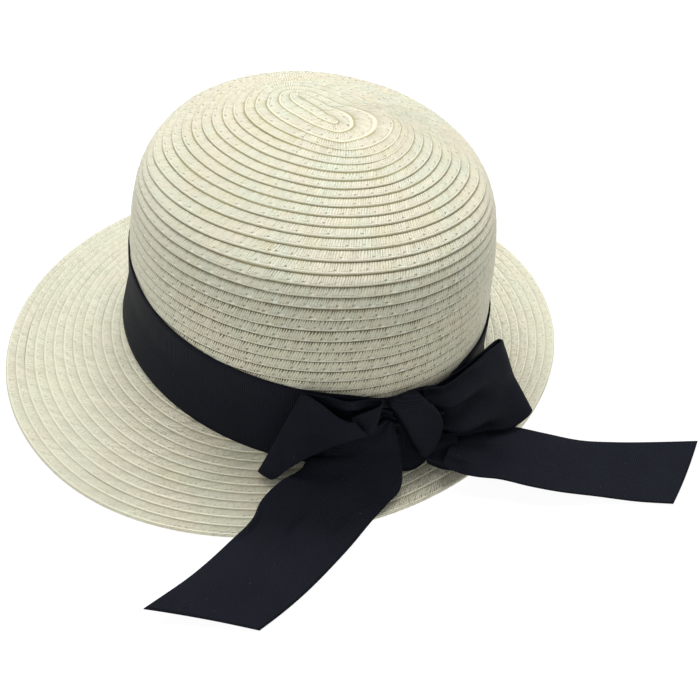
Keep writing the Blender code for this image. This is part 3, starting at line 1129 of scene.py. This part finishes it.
@dataclass
class StrawCrown(Piece):
    """The crown: about thirty rows of braid that wind out from a short straight start at the tip.

    Seams and rows are counted from the tip. late_share is how long the first rows wait in their turn before
    they move out; pressed and tip_relief say how flat the relief is beside the start and at the tip. The
    rows' relief and the crown's dents set in over ranges counted from the tip, or back from the ribbon.
    """

    columns: int = 300
    start: tuple[float, float] = (-0.0178, -0.0130)
    start_half_length: float = 0.0140
    start_angle: float = math.radians(32)
    first_seam: int = 3
    last_seam: int = 32
    centred_seam: int = 14
    far_angle: float = math.radians(230)
    far_range: Range = (math.radians(55), math.radians(95))
    hidden_edge: float = 0.0035
    grid_step: float = 0.25
    meridians: int = 720
    meridian_steps: int = 500
    rings_inside: int = 90
    late_share: float = 0.68
    late_rows: float = 5.0
    row_seed: int = 40
    seam_wobble: float = 0.035
    wobble_rows: Range = (1.0, 4.0)
    relief_wobble: float = 0.18
    relief_turn: int = 40
    pressed: float = 0.85
    pressed_side: Range = (0.004, -0.002)
    pressed_rows: Range = (4.0, 9.0)
    tip_relief: float = 0.08
    relief_rows: Range = (2.0, 6.0)
    dent_seed: int = 7
    dent: float = 0.0004
    dent_rows: Range = (2.0, 8.0)
    dent_end_rows: Range = (0.0, 6.0)
    tip_rows: Range = (0.0, 0.6)
    end_rows: Range = (0.0, 0.5)
    inner_ridge: float = 0.0002
    foot_levels: tuple[float, ...] = (40.5, 44.5, 47.5, 48.0, 51.0)
    inner_level: float = 52.0

    def angles(self) -> np.ndarray:
        """The columns' angles, clockwise from the start of the braid."""
        return self.start_angle - math.tau * np.arange(self.columns) / self.columns

    def seam_ring(self, seam: float, lines: np.ndarray, angles: np.ndarray) -> np.ndarray:
        """Points of one seam, where its plane cuts the crown.

        Args:
            seam: the seam, counted from the tip.
            lines: the crown's meridians.
            angles: the angles at which points are wanted.

        Returns:
            A point for each angle.
        """
        table = np.array(SEAM_TABLE)
        height, slope_x, slope_y = spline(table[:, 0], table[:, 1:], np.array([seam]))[0]
        above = lines[..., 2] - height - slope_x * lines[..., 0] - slope_y * lines[..., 1]
        below = np.argmax(above < 0, axis=0)
        below = np.where((above < 0).any(axis=0), np.maximum(below, 1), len(lines) - 1)
        column = np.arange(lines.shape[1])
        before, after = above[below - 1, column], above[below, column]
        share = np.clip(before / np.maximum(before - after, 1e-9), 0.0, 1.0)[:, None]
        ring = lines[below - 1, column] * (1 - share) + lines[below, column] * share
        share = smoothstep(self.first_seam, self.centred_seam, seam)
        axis = np.array(self.shape.lean) * ring[:, 2].mean()
        centre = np.array(self.start) * (1 - share) + axis * share
        stretch = (self.shape.half_width + self.shape.extra_length) / self.shape.half_width
        turned = np.arctan2((ring[:, 1] - centre[1]) / stretch, ring[:, 0] - centre[0]) % math.tau
        order = np.argsort(turned)
        turned, ring = turned[order], ring[order]
        wanted = angles % math.tau
        return np.stack([np.interp(wanted, turned, ring[:, k], period=math.tau) for k in range(3)], axis=1)

    def base(self) -> tuple[np.ndarray, np.ndarray]:
        """The smooth surface, with its seams spaced evenly on the far side.

        Returns:
            Points by seams and columns, and the seam numbers.
        """
        seams = np.arange(0.0, self.last_seam + self.grid_step, self.grid_step)
        angles = self.angles()
        around = np.linspace(0.0, math.tau, self.meridians + 1)[:-1]
        lines = self.shape.meridians(around, self.meridian_steps)
        first = self.seam_ring(self.first_seam, lines, angles)
        rings = []
        for seam in seams:
            if seam >= self.first_seam:
                rings.append(self.seam_ring(seam, lines, angles))
                continue
            share = seam / self.first_seam
            x = self.start[0] * (1 - share) + first[:, 0] * share
            straight = self.start[1] + self.start_half_length * np.sin(angles)
            y = straight * (1 - share) + first[:, 1] * share
            rings.append(np.stack([x, y, self.shape.top_height(x, y)], axis=1))
        rings = np.array(rings)
        length = ways(rings)
        apart = np.abs((angles - self.far_angle + math.pi) % math.tau - math.pi)
        far = 1 - smoothstep(*self.far_range, apart)
        even = length[-1] * (seams / seams[-1])[:, None]
        return read_lines(rings, length, length * (1 - far) + even * far), seams

    def read(self, grid: np.ndarray, places: np.ndarray) -> np.ndarray:
        """A grid's values between its seams.

        Args:
            grid: values by seams and columns.
            places: seam numbers, some for every column.

        Returns:
            A value for each place.
        """
        place = np.clip(places / self.grid_step, 0, len(grid) - 1.001)
        low = place.astype(int)
        share = (place - low)[..., None]
        column = np.broadcast_to(np.arange(self.columns), low.shape)
        return grid[low, column] * (1 - share) + grid[low + 1, column] * share

    def limit(self, grid: np.ndarray, seams: np.ndarray) -> np.ndarray:
        """Where the rows go under the ribbon.

        Args:
            grid: the smooth surface.
            seams: its seam numbers.

        Returns:
            A seam number for each column.
        """
        hidden = self.shape.ribbon_width - self.hidden_edge
        rise = self.shape.rise_of(grid)
        return np.array([np.interp(-hidden, -rise[:, k], seams) for k in range(self.columns)])

    def outside(self, grid: np.ndarray, normals: np.ndarray,
                limit: np.ndarray) -> tuple[np.ndarray, np.ndarray]:
        """The spiral of braided rows.

        Args:
            grid: the smooth surface.
            normals: its normals.
            limit: the seam number at which each column goes under the ribbon.

        Returns:
            The points by levels and columns, and the levels in rows.
        """
        shares, heights = np.transpose(CROWN_RELIEF)
        levels = np.concatenate([row + shares for row in range(-1, int(limit.max()) + 2)])
        relief = np.tile(heights, len(levels) // len(shares))[:, None] / 1000
        rows = levels[:, None]
        turn = np.arange(self.columns) / self.columns
        late = self.late_share * (1 - smoothstep(0.0, self.late_rows, rows))
        gained = np.clip((turn - late) / (1 - late), 0.0, 1.0)
        gained = np.where(rows > self.late_rows, turn, gained * gained * (3 - 2 * gained))
        wobble = np.array([ripple(int(row) + self.row_seed, turn) for row in np.floor(levels)])
        places = rows + gained + self.seam_wobble * wobble * smoothstep(*self.wobble_rows, rows)
        places = np.clip(places, 0.0, limit)
        fade = smoothstep(*self.end_rows, limit - places) * smoothstep(*self.tip_rows, places)
        height = relief * (1 + self.relief_wobble * np.roll(wobble, self.relief_turn, axis=1)) * fade
        smooth = self.read(grid, places)
        pressed = smoothstep(*self.pressed_side, smooth[..., 0] - self.start[0])
        height *= 1 - self.pressed * pressed * (1 - smoothstep(*self.pressed_rows, rows))
        height *= self.tip_relief + (1 - self.tip_relief) * smoothstep(*self.relief_rows, rows)
        dents = self.dent * ripple(self.dent_seed, turn) * smoothstep(*self.dent_end_rows, limit - places)
        height += dents * smoothstep(*self.dent_rows, places)
        return smooth + self.read(normals, places) * height[..., None], levels

    def foot_and_inside(self, grid: np.ndarray, normals: np.ndarray,
                        limit: np.ndarray) -> tuple[np.ndarray, np.ndarray]:
        """The plain foot under the ribbon and the inside with its faint rows.

        Args:
            grid: the smooth surface.
            normals: its normals.
            limit: the seam number at which each column goes under the ribbon.

        Returns:
            The points by rings and columns, and a level for each ring.
        """
        shape = self.shape
        middle, joint, wall = shape.ribbon_width / 2, shape.joint_rise, shape.straw_wall
        foot = [shape.side(self.angles(), rise, -depth)[None]
                for rise, depth in ((middle, 0.0), (joint, 0.0), (joint, wall), (middle, wall))]
        places = np.linspace(1.0, 0.0, self.rings_inside + 1)[:, None] * limit
        ridge = self.inner_ridge * np.cos(math.tau * places) - wall
        inner = self.read(grid, places) + self.read(normals, places) * ridge[..., None]
        inner[-1] = inner[-1] * (1, 1, 0) + (0, 0, inner[-1, :, 2].mean())
        levels = np.concatenate([self.foot_levels, self.inner_level + places.mean(axis=1)])
        return np.concatenate([self.read(grid, limit[None]), *foot, inner]), levels

    def build(self) -> bpy.types.Object:
        """Build the crown.

        Returns:
            The dressed piece.
        """
        grid, seams = self.base()
        normals = normals_of(grid)
        normals[0] = normals[1] = (0.0, 0.0, 1.0)
        normals *= np.sign(normals[len(seams) // 3, :, 2].mean())
        limit = self.limit(grid, seams)
        maker = MeshMaker(self.shape.shift)
        points, levels = self.outside(grid, normals, limit)
        per_row = len(CROWN_RELIEF)
        maker.add_grid(points, self.spiral_maps(points, levels, per_row), closed_step=per_row)
        points, levels = self.foot_and_inside(grid, normals, limit)
        maker.add_grid(points, ring_maps(points, levels), closed_step=0)
        return self.dress(maker.finish("straw_crown", ROWS_MAP), "straw", "crown")

    @staticmethod
    def spiral_maps(points: np.ndarray, levels: np.ndarray, per_row: int) -> np.ndarray:
        """Map coordinates of the spiral: metres along the braid, and rows across it.

        Args:
            points: the spiral's points.
            levels: its levels in rows.
            per_row: how many levels a row has.

        Returns:
            The coordinates of each quad's corners.
        """
        steps = np.linalg.norm(np.roll(points, -1, axis=1) - points, axis=2)
        middle = steps[per_row // 2::per_row]
        middle[:, -1] = middle[:, -2]
        ends = np.concatenate([[0.0], np.cumsum(middle.ravel())])
        starts, following = ends[:-1].reshape(middle.shape), ends[1:].reshape(middle.shape)
        row = np.arange(len(levels) - 1) // per_row
        return corner_maps(starts[row], following[row], levels[:-1, None], levels[1:, None] - MAP_GAP)


@dataclass
class StrawBrim(Piece):
    """The brim: rows of braid that follow the rim and run out under the ribbon.

    Rows are counted inwards from the rim. The levels are what the map says in the brim's places.
    """

    columns: int = 420
    row_pitch: float = 0.0053
    path_steps: int = 60
    collar_steps: int = 4
    row_seed: int = 80
    seam_wobble: float = 0.00016
    relief_wobble: float = 0.15
    relief_turn: int = 50
    plain_end: Range = (0.004, 0.009)
    calm_side: Range = (0.060, 0.120)
    calmness: float = 0.6
    rings_under_row: int = 3
    under_start: float = 0.0012
    under_ridge: float = 0.00018
    ridge_end: float = 0.98
    rim_level: float = 60.0
    edge_levels: tuple[float, ...] = (59.999, 59.80, 59.84, 59.88, 59.92, 59.96)
    under_level: float = 62.0
    last_level: float = 90.0

    def path(self, angles: np.ndarray) -> np.ndarray:
        """Lines from the rim's upper edge in over the brim and up the collar.

        Args:
            angles: an angle for each line.

        Returns:
            Points, with the way along the lines first.
        """
        shares = np.linspace(1.0, 0.0, self.path_steps)
        rises = np.linspace(0.0, self.shape.joint_rise - self.shape.clearance, self.collar_steps + 1)[1:]
        brim = [self.shape.brim_top(angles, np.full_like(angles, share)) for share in shares]
        return np.array(brim + [self.shape.side(angles, rise) for rise in rises])

    def build(self) -> bpy.types.Object:
        """Build the brim: braided rows above and below, a rolled rim and a collar under the ribbon.

        Returns:
            The dressed piece.
        """
        turn = np.arange(self.columns) / self.columns
        angles = math.tau * turn - math.pi / 2
        lines = self.path(angles)
        length = ways(lines)
        normals = normals_of(lines)
        normals *= np.sign(normals[self.path_steps // 2, :, 2].mean())
        rows = int(length[-1].max() / self.row_pitch) + 1
        shares, heights = np.transpose(BRIM_RELIEF)
        levels = np.concatenate([row + shares for row in range(-rows, 0)] + [[-RIM_GAP]])
        wobble = np.array([ripple(int(row) + self.row_seed, turn) for row in np.floor(levels)])
        moved = self.seam_wobble * wobble * smoothstep(0.0, 0.5, -levels - 0.99)[:, None]
        places = np.clip(-levels[:, None] * self.row_pitch + moved, 0.0, length[-1])
        smooth = read_lines(lines, length, places)
        height = np.append(np.tile(heights, rows), 0.0)[:, None] / 1000
        height = height * (1 + self.relief_wobble * np.roll(wobble, self.relief_turn, axis=1))
        height *= smoothstep(*self.plain_end, length[-1] - places)
        x, y = smooth[..., 0] + self.shape.shift[0], smooth[..., 1] + self.shape.shift[1]
        height *= 1 - self.calmness * smoothstep(*self.calm_side, np.abs(sideways(x, y)))
        upper = smooth + read_lines(normals, length, places) * height[..., None]
        maker = MeshMaker(self.shape.shift)
        maker.add_grid(upper, ring_maps(upper, levels + self.rim_level), closed_step=0)

        _, rim, level, _ = self.shape.brim_way(angles)
        wall = self.shape.straw_wall
        profile = (*RIM_TABLE, (-self.shape.rim_land, 0.0))
        edge = np.array([rim + level * out - (0, 0, wall * (1 - high)) for out, high in profile])
        under_levels = np.linspace(0.0, 1.0, self.rings_under_row * rows + 1)
        start = self.shape.rim_land + self.under_start
        places = start + under_levels[:, None] * (length[-1] - start)
        ridge = self.under_ridge * np.cos(math.tau * places / self.row_pitch)
        depth = wall - ridge * (under_levels <= self.ridge_end)[:, None]
        under = read_lines(lines, length, places) - read_lines(normals, length, places) * depth[..., None]
        under[-1] = self.shape.side(angles, self.shape.joint_rise - self.shape.clearance, -wall)
        rest = np.concatenate([upper[-1:], edge, under, upper[:1]])
        rest_levels = [self.edge_levels, self.under_level + under_levels * rows, [self.last_level]]
        maker.add_grid(rest, ring_maps(rest, np.concatenate(rest_levels)), closed_step=0)
        return self.dress(maker.finish("straw_brim", ROWS_MAP), "straw", "brim")


class Side(Enum):
    """Which side of the bow, seen from behind the hat."""

    LEFT = "left"
    RIGHT = "right"


@dataclass(frozen=True)
class Pleats:
    """Pleats across a gathered strip.

    count is how many lie across it, and ridge the share of the way across where the first one's ridge lies.
    No pleat is deeper than deepest, and the reaches say how far from the strip's two ends they fade out. They
    show fully up to the share faded of the reach, and stay below their depth in the share edge at the sides.
    """

    count: float
    ridge: float
    deepest: float
    first_reach: float
    last_reach: float
    faded: float = 0.3
    edge: float = 0.12

    def lift(self, grid: np.ndarray, width: float) -> np.ndarray:
        """How far the pleats lift the cloth, so that a gathered strip keeps its width.

        Args:
            grid: the strip's rows of points.
            width: the flat strip's width.

        Returns:
            A lift for each point.
        """
        chords = np.linalg.norm(grid[:, -1] - grid[:, 0], axis=1)
        slope = math.tau * self.count * np.sin(math.tau * self.count * np.linspace(0.0, 1.0, 80))
        low, high = np.zeros_like(chords), np.full_like(chords, self.deepest)
        for _ in range(30):
            middle = (low + high) / 2
            short = np.sqrt(chords[:, None] ** 2 + (middle[:, None] * slope) ** 2).mean(axis=1) < width
            low, high = np.where(short, middle, low), np.where(short, high, middle)
        along = ways(grid[:, grid.shape[1] // 2])
        first = smoothstep(self.first_reach, self.first_reach * self.faded, along)
        last = smoothstep(self.last_reach, self.last_reach * self.faded, along[-1] - along)
        across = np.linspace(0.0, 1.0, grid.shape[1])
        window = smoothstep(0.0, self.edge, across) * smoothstep(0.0, self.edge, 1 - across)
        wave = window * np.cos(math.tau * self.count * (across - self.ridge))
        return (low * np.maximum(first, last))[:, None] * wave


@dataclass
class RibbonPiece(Piece):
    """What the ribbon's pieces share: strips through rows of points, with a woven map."""

    across: int = 34
    steps: int = 10
    crispness: float = 0.0
    crease_curve: float = 1.3
    thickness_share: float = 0.8

    def lines(self, table: tuple) -> np.ndarray:
        """Points across the strip for each row of a table.

        Args:
            table: rows in the loops' measures.

        Returns:
            Places along the band, rises and ways out in metres, by rows and points.
        """
        rows = np.array(table) * self.shape.ribbon_width
        share = np.linspace(0.0, 1.0, self.across)[None, :, None]
        points = rows[:, None, :3] * (1 - share) + rows[:, None, 3:6] * share
        crease = np.array(table)[:, 6, None]
        tent = np.minimum(share[..., 0] / crease, (1 - share[..., 0]) / (1 - crease))
        points[..., 2] += rows[:, 7, None] * tent ** self.crease_curve
        return points

    def smooth(self, rows: np.ndarray) -> np.ndarray:
        """Add rows on curves through the given ones; the crisper the piece, the straighter between them.

        Args:
            rows: rows of points.

        Returns:
            The denser rows.
        """
        knots = ways(rows).mean(axis=1)
        steps = np.arange((len(rows) - 1) * self.steps + 1) / self.steps
        curve = spline(knots, rows, np.interp(steps, np.arange(len(rows)), knots))
        start = np.minimum(steps.astype(int), len(rows) - 2)
        share = (steps - start)[:, None, None]
        straight = rows[start] * (1 - share) + rows[start + 1] * share
        return curve * (1 - self.crispness) + straight * self.crispness

    def strip(self, name: str, grid: np.ndarray) -> bpy.types.Object:
        """A length of ribbon through its rows, with its thickness to both sides.

        Args:
            name: the object's name.
            grid: the rows of points.

        Returns:
            The object.
        """
        along = ways(grid[:, grid.shape[1] // 2])
        width = np.linspace(0.0, self.shape.ribbon_width, grid.shape[1])
        maps = corner_maps(width[:-1], width[1:], along[:-1, None], along[1:, None])[..., ::-1]
        maker = MeshMaker(self.shape.shift)
        maker.add_grid(grid, maps)
        item = maker.finish(name, WEAVE_MAP)
        choose(item)
        thickness = item.modifiers.new("thickness", "SOLIDIFY")
        thickness.thickness = self.shape.ribbon_wall * self.thickness_share
        thickness.offset = 0.0
        bpy.ops.object.modifier_apply(modifier=thickness.name)
        log.info("%s is %.3f m long", name, along[-1])
        return item


@dataclass
class RibbonBand(RibbonPiece):
    """The ribbon round the crown, whose lower edge flares out behind the knot.

    The flare's sizes are shares of the ribbon's width, and the ripples grow from its lower edge up.
    """

    columns: int = 320
    heights: int = 14
    flare: float = 0.13
    flare_reach: float = 0.32
    flare_height: float = 0.45
    flare_drop: float = 0.85
    flare_curve: float = 1.5
    ripple_seed: int = 11
    ripple_waves: int = 14
    ripple_height: float = 0.00022
    lowest_ripple: float = 0.3
    rounding: float = 0.0002

    def build(self) -> bpy.types.Object:
        """Build the band.

        Returns:
            The dressed piece.
        """
        shape = self.shape
        turn = np.arange(self.columns) / self.columns
        angles = math.tau * turn + shape.bow_angle
        rises = np.linspace(shape.band_seat, shape.ribbon_width, self.heights)
        turned = (math.tau * turn + math.pi) % math.tau - math.pi
        radius = shape.half_width + shape.extra_length / 2
        along = -turned * radius / shape.ribbon_width
        dip = 1 - sum(depth * np.exp(-((along - place) / reach) ** 2) for place, reach, depth in BAND_DIPS)
        flare = self.flare * np.exp(-(along / self.flare_reach) ** 2) * shape.ribbon_width
        near = []
        for rise in rises:
            share = max(0.0, 1 - rise / (self.flare_height * shape.ribbon_width))
            low = flare * share ** self.flare_curve
            ring = shape.side(angles, rise * dip - low * self.flare_drop, shape.clearance)
            near.append(ring + low[:, None] * outward(angles))
        near = np.array(near)
        ripples = self.ripple_height * ripple(self.ripple_seed, turn, self.ripple_waves)
        ripples = np.linspace(self.lowest_ripple, 1.0, self.heights)[:, None, None] * ripples[:, None]
        far = near + outward(angles) * (shape.ribbon_wall + ripples)
        edge = (near[-1:] + far[-1:]) / 2 + (0.0, 0.0, self.rounding)
        rings = np.concatenate([near, edge, far[::-1], near[:1]])
        levels = np.concatenate([rises, [shape.ribbon_width], rises[::-1], rises[:1]])[:, None]
        round_band = np.arange(self.columns + 1) * (radius * math.tau / self.columns)
        maps = corner_maps(round_band[:-1], round_band[1:], levels[:-1], levels[1:])
        maker = MeshMaker(shape.shift)
        maker.add_grid(rings, maps, closed_step=0)
        return self.dress(maker.finish("ribbon_band", WEAVE_MAP), "ribbon", "hat_band")


@dataclass
class BowKnot(RibbonPiece):
    """The knot: a short upright roll of ribbon, wrapped round the middle of the bow.

    The roll's outline has rounded corners, and skew says how much further its right side stands out.
    """

    sides: int = 56
    levels: int = 40
    skew: float = 0.22

    def build(self) -> bpy.types.Object:
        """Build the knot.

        Returns:
            The dressed piece.
        """
        shape = self.shape
        table = np.array(KNOT_TABLE)[::-1] * shape.ribbon_width
        rises = np.linspace(table[0, 0], table[-1, 0], self.levels)
        back = 2 * shape.clearance + shape.ribbon_wall
        turn = math.tau * np.arange(self.sides) / self.sides
        across, depth = (np.copysign(np.sqrt(np.abs(wave)), wave) for wave in (np.cos(turn), np.sin(turn)))
        rings = []
        for rise, left, right, front in spline(table[:, 0], table, rises):
            along = (left + right) / 2 + across * (left - right) / 2
            out = back + (front - back) * (1 - self.skew * across) * (1 + depth) / 2
            rings.append(shape.on_band(along, np.full_like(along, rise), out))
        first, last = (np.broadcast_to(ring.mean(axis=0), ring.shape) for ring in (rings[0], rings[-1]))
        rings = np.array([first, *rings, last])
        maps = ring_maps(rings, np.concatenate([rises[:1], rises, rises[-1:]]))[..., ::-1]
        maker = MeshMaker(shape.shift)
        maker.add_grid(rings, maps, closed_step=0)
        return self.dress(maker.finish("ribbon_knot", WEAVE_MAP), "ribbon", "bow_knot")


@dataclass
class BowLoop(RibbonPiece):
    """One loop of the bow. nearest is how near the middle of its cloth comes to the straw."""

    side: Side = Side.LEFT
    nearest: float = 0.0021
    crispness: float = 0.45

    def build(self) -> bpy.types.Object:
        """Build the loop.

        Returns:
            The dressed piece.
        """
        table, pleats = LOOPS[self.side]
        grid = self.smooth(self.lines(table))
        grid[..., 2] = np.maximum(grid[..., 2] + pleats.lift(grid, self.shape.ribbon_width), self.nearest)
        points = self.shape.on_band(*np.moveaxis(grid, -1, 0))
        item = self.strip(f"ribbon_loop_{self.side.value}", points)
        return self.dress(item, "ribbon", f"bow_loop_{self.side.value}")


@dataclass
class BowTail(RibbonPiece):
    """One tail of the bow, from the knot over the brim to the floor."""

    side: Side = Side.LEFT

    def ground(self, theta: np.ndarray, out: np.ndarray, lift: np.ndarray) -> np.ndarray:
        """Places over the brim or, past the rim, over the floor.

        Args:
            theta: angles round the hat.
            out: level ways out from the crown's foot.
            lift: heights over the brim or the floor.

        Returns:
            The points, in the hat's coordinates.
        """
        _, rim, level, length = self.shape.brim_way(theta)
        over_brim = self.shape.brim_top(theta, np.clip(out / length, 0.0, 1.0))
        beyond = (rim + level * (out - length)[:, None]) * (1.0, 1.0, 0.0)
        base = np.where((out < length)[:, None], over_brim, beyond)
        return base + lift[:, None] * (0.0, 0.0, 1.0)

    def tail_row(self, row: tuple, length: float) -> np.ndarray:
        """Points across the tail, from its near edge to its far edge.

        Args:
            row: a row of the tail's table.
            length: how far the tail reaches past the rim.

        Returns:
            The points, in the hat's coordinates.
        """
        degrees, brim_share, tail_share, near_lift, turn, step, far_lift, crease = row
        shape = self.shape
        theta = shape.bow_angle + math.radians(degrees)
        out = brim_share * shape.brim_way(np.array(theta))[3] + tail_share * length
        share = np.linspace(0.0, 1.0, self.across)
        spread = turn * shape.ribbon_width / shape.rim_half_width
        reach = shape.rim_half_width + tail_share * length
        bulge = reach * (1 - math.cos(spread / 2) / np.cos(spread * (share - 0.5))) * tail_share
        bend = crease * (1 - np.abs(1 - 2 * share)) ** self.crease_curve
        lift = (near_lift + (far_lift - near_lift) * share + bend) * shape.ribbon_width
        return self.ground(theta - share * spread, out + share * step * shape.ribbon_width - bulge, lift)

    def build(self) -> bpy.types.Object:
        """Build the tail.

        Returns:
            The dressed piece.
        """
        roots, table, length = TAILS[self.side]
        first = self.shape.on_band(*np.moveaxis(self.lines(roots), -1, 0))
        grid = self.smooth(np.array([*first, *(self.tail_row(row, length) for row in table)]))
        lift = TAIL_PLEATS.lift(grid, self.shape.ribbon_width)
        normal = np.cross(np.gradient(grid, axis=0), np.gradient(grid, axis=1))
        normal /= np.maximum(np.linalg.norm(normal, axis=2, keepdims=True), 1e-12)
        normal *= np.sign(normal[len(grid) // 2, self.across // 2, 2])
        item = self.strip(f"ribbon_tail_{self.side.value}", grid + normal * lift[..., None])
        return self.dress(item, "ribbon", f"tail_{self.side.value}")


# Each loop's table and pleats
LOOPS = {
    Side.LEFT: (LEFT_LOOP_TABLE,
                Pleats(4.0, ridge=0.15, deepest=0.0013, first_reach=0.014, last_reach=0.075)),
    Side.RIGHT: (RIGHT_LOOP_TABLE,
                 Pleats(2.0, ridge=0.22, deepest=0.0038, first_reach=0.050, last_reach=0.050)),
}

# Each tail's tables and its reach past the rim in metres, and the pleats of both
TAILS = {
    Side.LEFT: (LEFT_TAIL_ROOT, LEFT_TAIL_TABLE, 0.0700),
    Side.RIGHT: (RIGHT_TAIL_ROOT, RIGHT_TAIL_TABLE, 0.0925),
}
TAIL_PLEATS = Pleats(2.0, ridge=0.3, deepest=0.0008, first_reach=0.018, last_reach=0.001)


@dataclass(frozen=True)
class Lamp:
    """One square soft light, aimed at the hat: its place, the length of its side and its power in watts."""

    name: str
    place: tuple[float, float, float]
    size: float
    power: float
    aim: tuple[float, float, float] = (0.0, 0.0, 0.05)

    def build(self) -> None:
        """Put the light in the scene."""
        data = bpy.data.lights.new(self.name, "AREA")
        data.shape = "SQUARE"
        data.size = self.size
        data.energy = self.power
        lamp = bpy.data.objects.new(self.name, data)
        lamp.location = self.place
        lamp.rotation_euler = (Vector(self.aim) - Vector(self.place)).to_track_quat("-Z", "Y").to_euler()
        bpy.context.scene.collection.objects.link(lamp)


@dataclass
class Studio:
    """The camera of the photograph, a floor that gives off light, and soft light from above and the sides."""

    shift: tuple[float, float, float]
    azimuth: float = math.radians(140.244)
    elevation: float = math.radians(41.175)
    roll: float = math.radians(1.377)
    distance: float = 1.4
    lens: float = 143.1
    sensor: float = 36.0
    target_height: float = 0.06
    target_right: float = 0.0239
    target_up: float = -0.0391
    floor_size: float = 12.0
    floor_drop: float = 0.0002
    floor_tint: Colour = (0.11, 0.11, 0.11, 1.0)
    floor_glow: float = 0.95
    world_glow: float = 0.18
    lamps: tuple[Lamp, ...] = (
        Lamp("overhead", (-0.30, -0.46, 1.65), size=1.2, power=38.6),
        Lamp("left", (1.48, 0.15, 0.90), size=1.2, power=7.8),
        Lamp("right", (-1.5, 0.75, 0.95), size=0.6, power=7.0),
    )

    def camera(self) -> None:
        """The camera, aimed as the photograph was."""
        a, e, r = self.azimuth, self.elevation, self.roll
        back = Vector((math.sin(a) * math.cos(e), -math.cos(a) * math.cos(e), math.sin(e)))
        right = Vector((math.cos(a), math.sin(a), 0.0))
        up = back.cross(right)
        right, up = math.cos(r) * right + math.sin(r) * up, math.cos(r) * up - math.sin(r) * right
        target = Vector((0.0, 0.0, self.target_height)) + self.target_right * right + self.target_up * up
        data = bpy.data.cameras.new("camera")
        data.lens = self.lens
        data.sensor_width = self.sensor
        camera = bpy.data.objects.new("camera", data)
        turned = Matrix((right, up, back)).transposed().to_4x4()
        turned.translation = target + back * self.distance + Vector(self.shift)
        camera.matrix_world = turned
        bpy.context.scene.collection.objects.link(camera)
        bpy.context.scene.camera = camera

    def floor(self) -> None:
        """The floor, just under the hat."""
        bpy.ops.object.select_all(action="DESELECT")
        bpy.ops.mesh.primitive_plane_add(size=self.floor_size, location=(0.0, 0.0, 0.0))
        floor = bpy.context.active_object
        floor.name = "floor"
        floor.data.transform(Matrix.Translation((0.0, 0.0, -self.floor_drop)))
        graph = Graph("floor")
        graph.fill(graph.shader, {"Base Color": self.floor_tint, "Roughness": 0.9, "Specular IOR Level": 0.0,
                                  "Emission Color": WHITE, "Emission Strength": self.floor_glow})
        floor.data.materials.append(graph.material)

    def build(self) -> None:
        """The whole studio."""
        self.camera()
        self.floor()
        for lamp in self.lamps:
            lamp.build()
        world = bpy.data.worlds.new("studio")
        world.use_nodes = True
        background = world.node_tree.nodes["Background"].inputs
        background["Color"].default_value = WHITE
        background["Strength"].default_value = self.world_glow
        bpy.context.scene.world = world
        bpy.context.scene.view_settings.view_transform = "Standard"


def hat_shift() -> tuple[float, float, float]:
    """What brings the hat's own coordinates into the frame, from the brim's box.

    Returns:
        The shift along X, Y and Z.
    """
    low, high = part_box("brim")
    plain = HatShape((0.0, 0.0, 0.0))
    middle_x = plain.rim_centre[0]
    middle_y = plain.rim_centre[1] + (plain.rim_back - plain.rim_front) / 2
    return ((low.x + high.x) / 2 - middle_x, (low.y + high.y) / 2 - middle_y, 0.0)


def main() -> None:
    """Build the hat's looks and the studio."""
    logging.basicConfig(level=logging.INFO, format="%(message)s")
    shape = HatShape(hat_shift())
    Studio(shape.shift).build()
    # The crown's copy paints light on its lower wall and deeper shade in the seams there
    crown_straw = StrawFinish("straw_crown_finish", stitch_pitch=0.0077, row_pitch=0.0058, slant=-1.4,
                              wall_shade=0.8)
    # The brim's copy of the straw is painted lighter than the crown's, with fainter marks and stronger
    # painted shade on the hat's two sides
    brim_straw_painted_lighter = StrawFinish("straw_brim_finish_painted_lighter", stitch_pitch=0.0058, row_pitch=0.0053, slant=2.2,
                             comb_shade_depth=0.16, taper=0.2, dash_strength=0.2, roll_highlight_strength=0.10,
                             rib_pitch=0.0011, rib_strength=0.16, seam=(0.36, 0.33, 0.19, 1.0),
                             ivory=(0.86, 0.840, 0.655, 1.0), cool=(0.83, 0.845, 0.670, 1.0),
                             warm=(0.88, 0.830, 0.655, 1.0), straw=(0.86, 0.820, 0.585, 1.0),
                             seam_shade_depth=0.50, hole_shade_strength=0.42, calm_side=(0.065, 0.120),
                             calmness=0.6, calm_tint=(0.56, 0.550, 0.436, 1.0))
    StrawCrown(shape, crown_straw.material()).build()
    StrawBrim(shape, brim_straw_painted_lighter.material()).build()
    ribbon = RibbonFinish().material()
    band = RibbonBand(shape, ribbon).build()
    knot = BowKnot(shape, ribbon).build()
    for side in Side:
        loop = BowLoop(shape, ribbon, side=side).build()
    for side in Side:
        tail = BowTail(shape, ribbon, side=side).build()


if __name__ == "__main__":
    main()
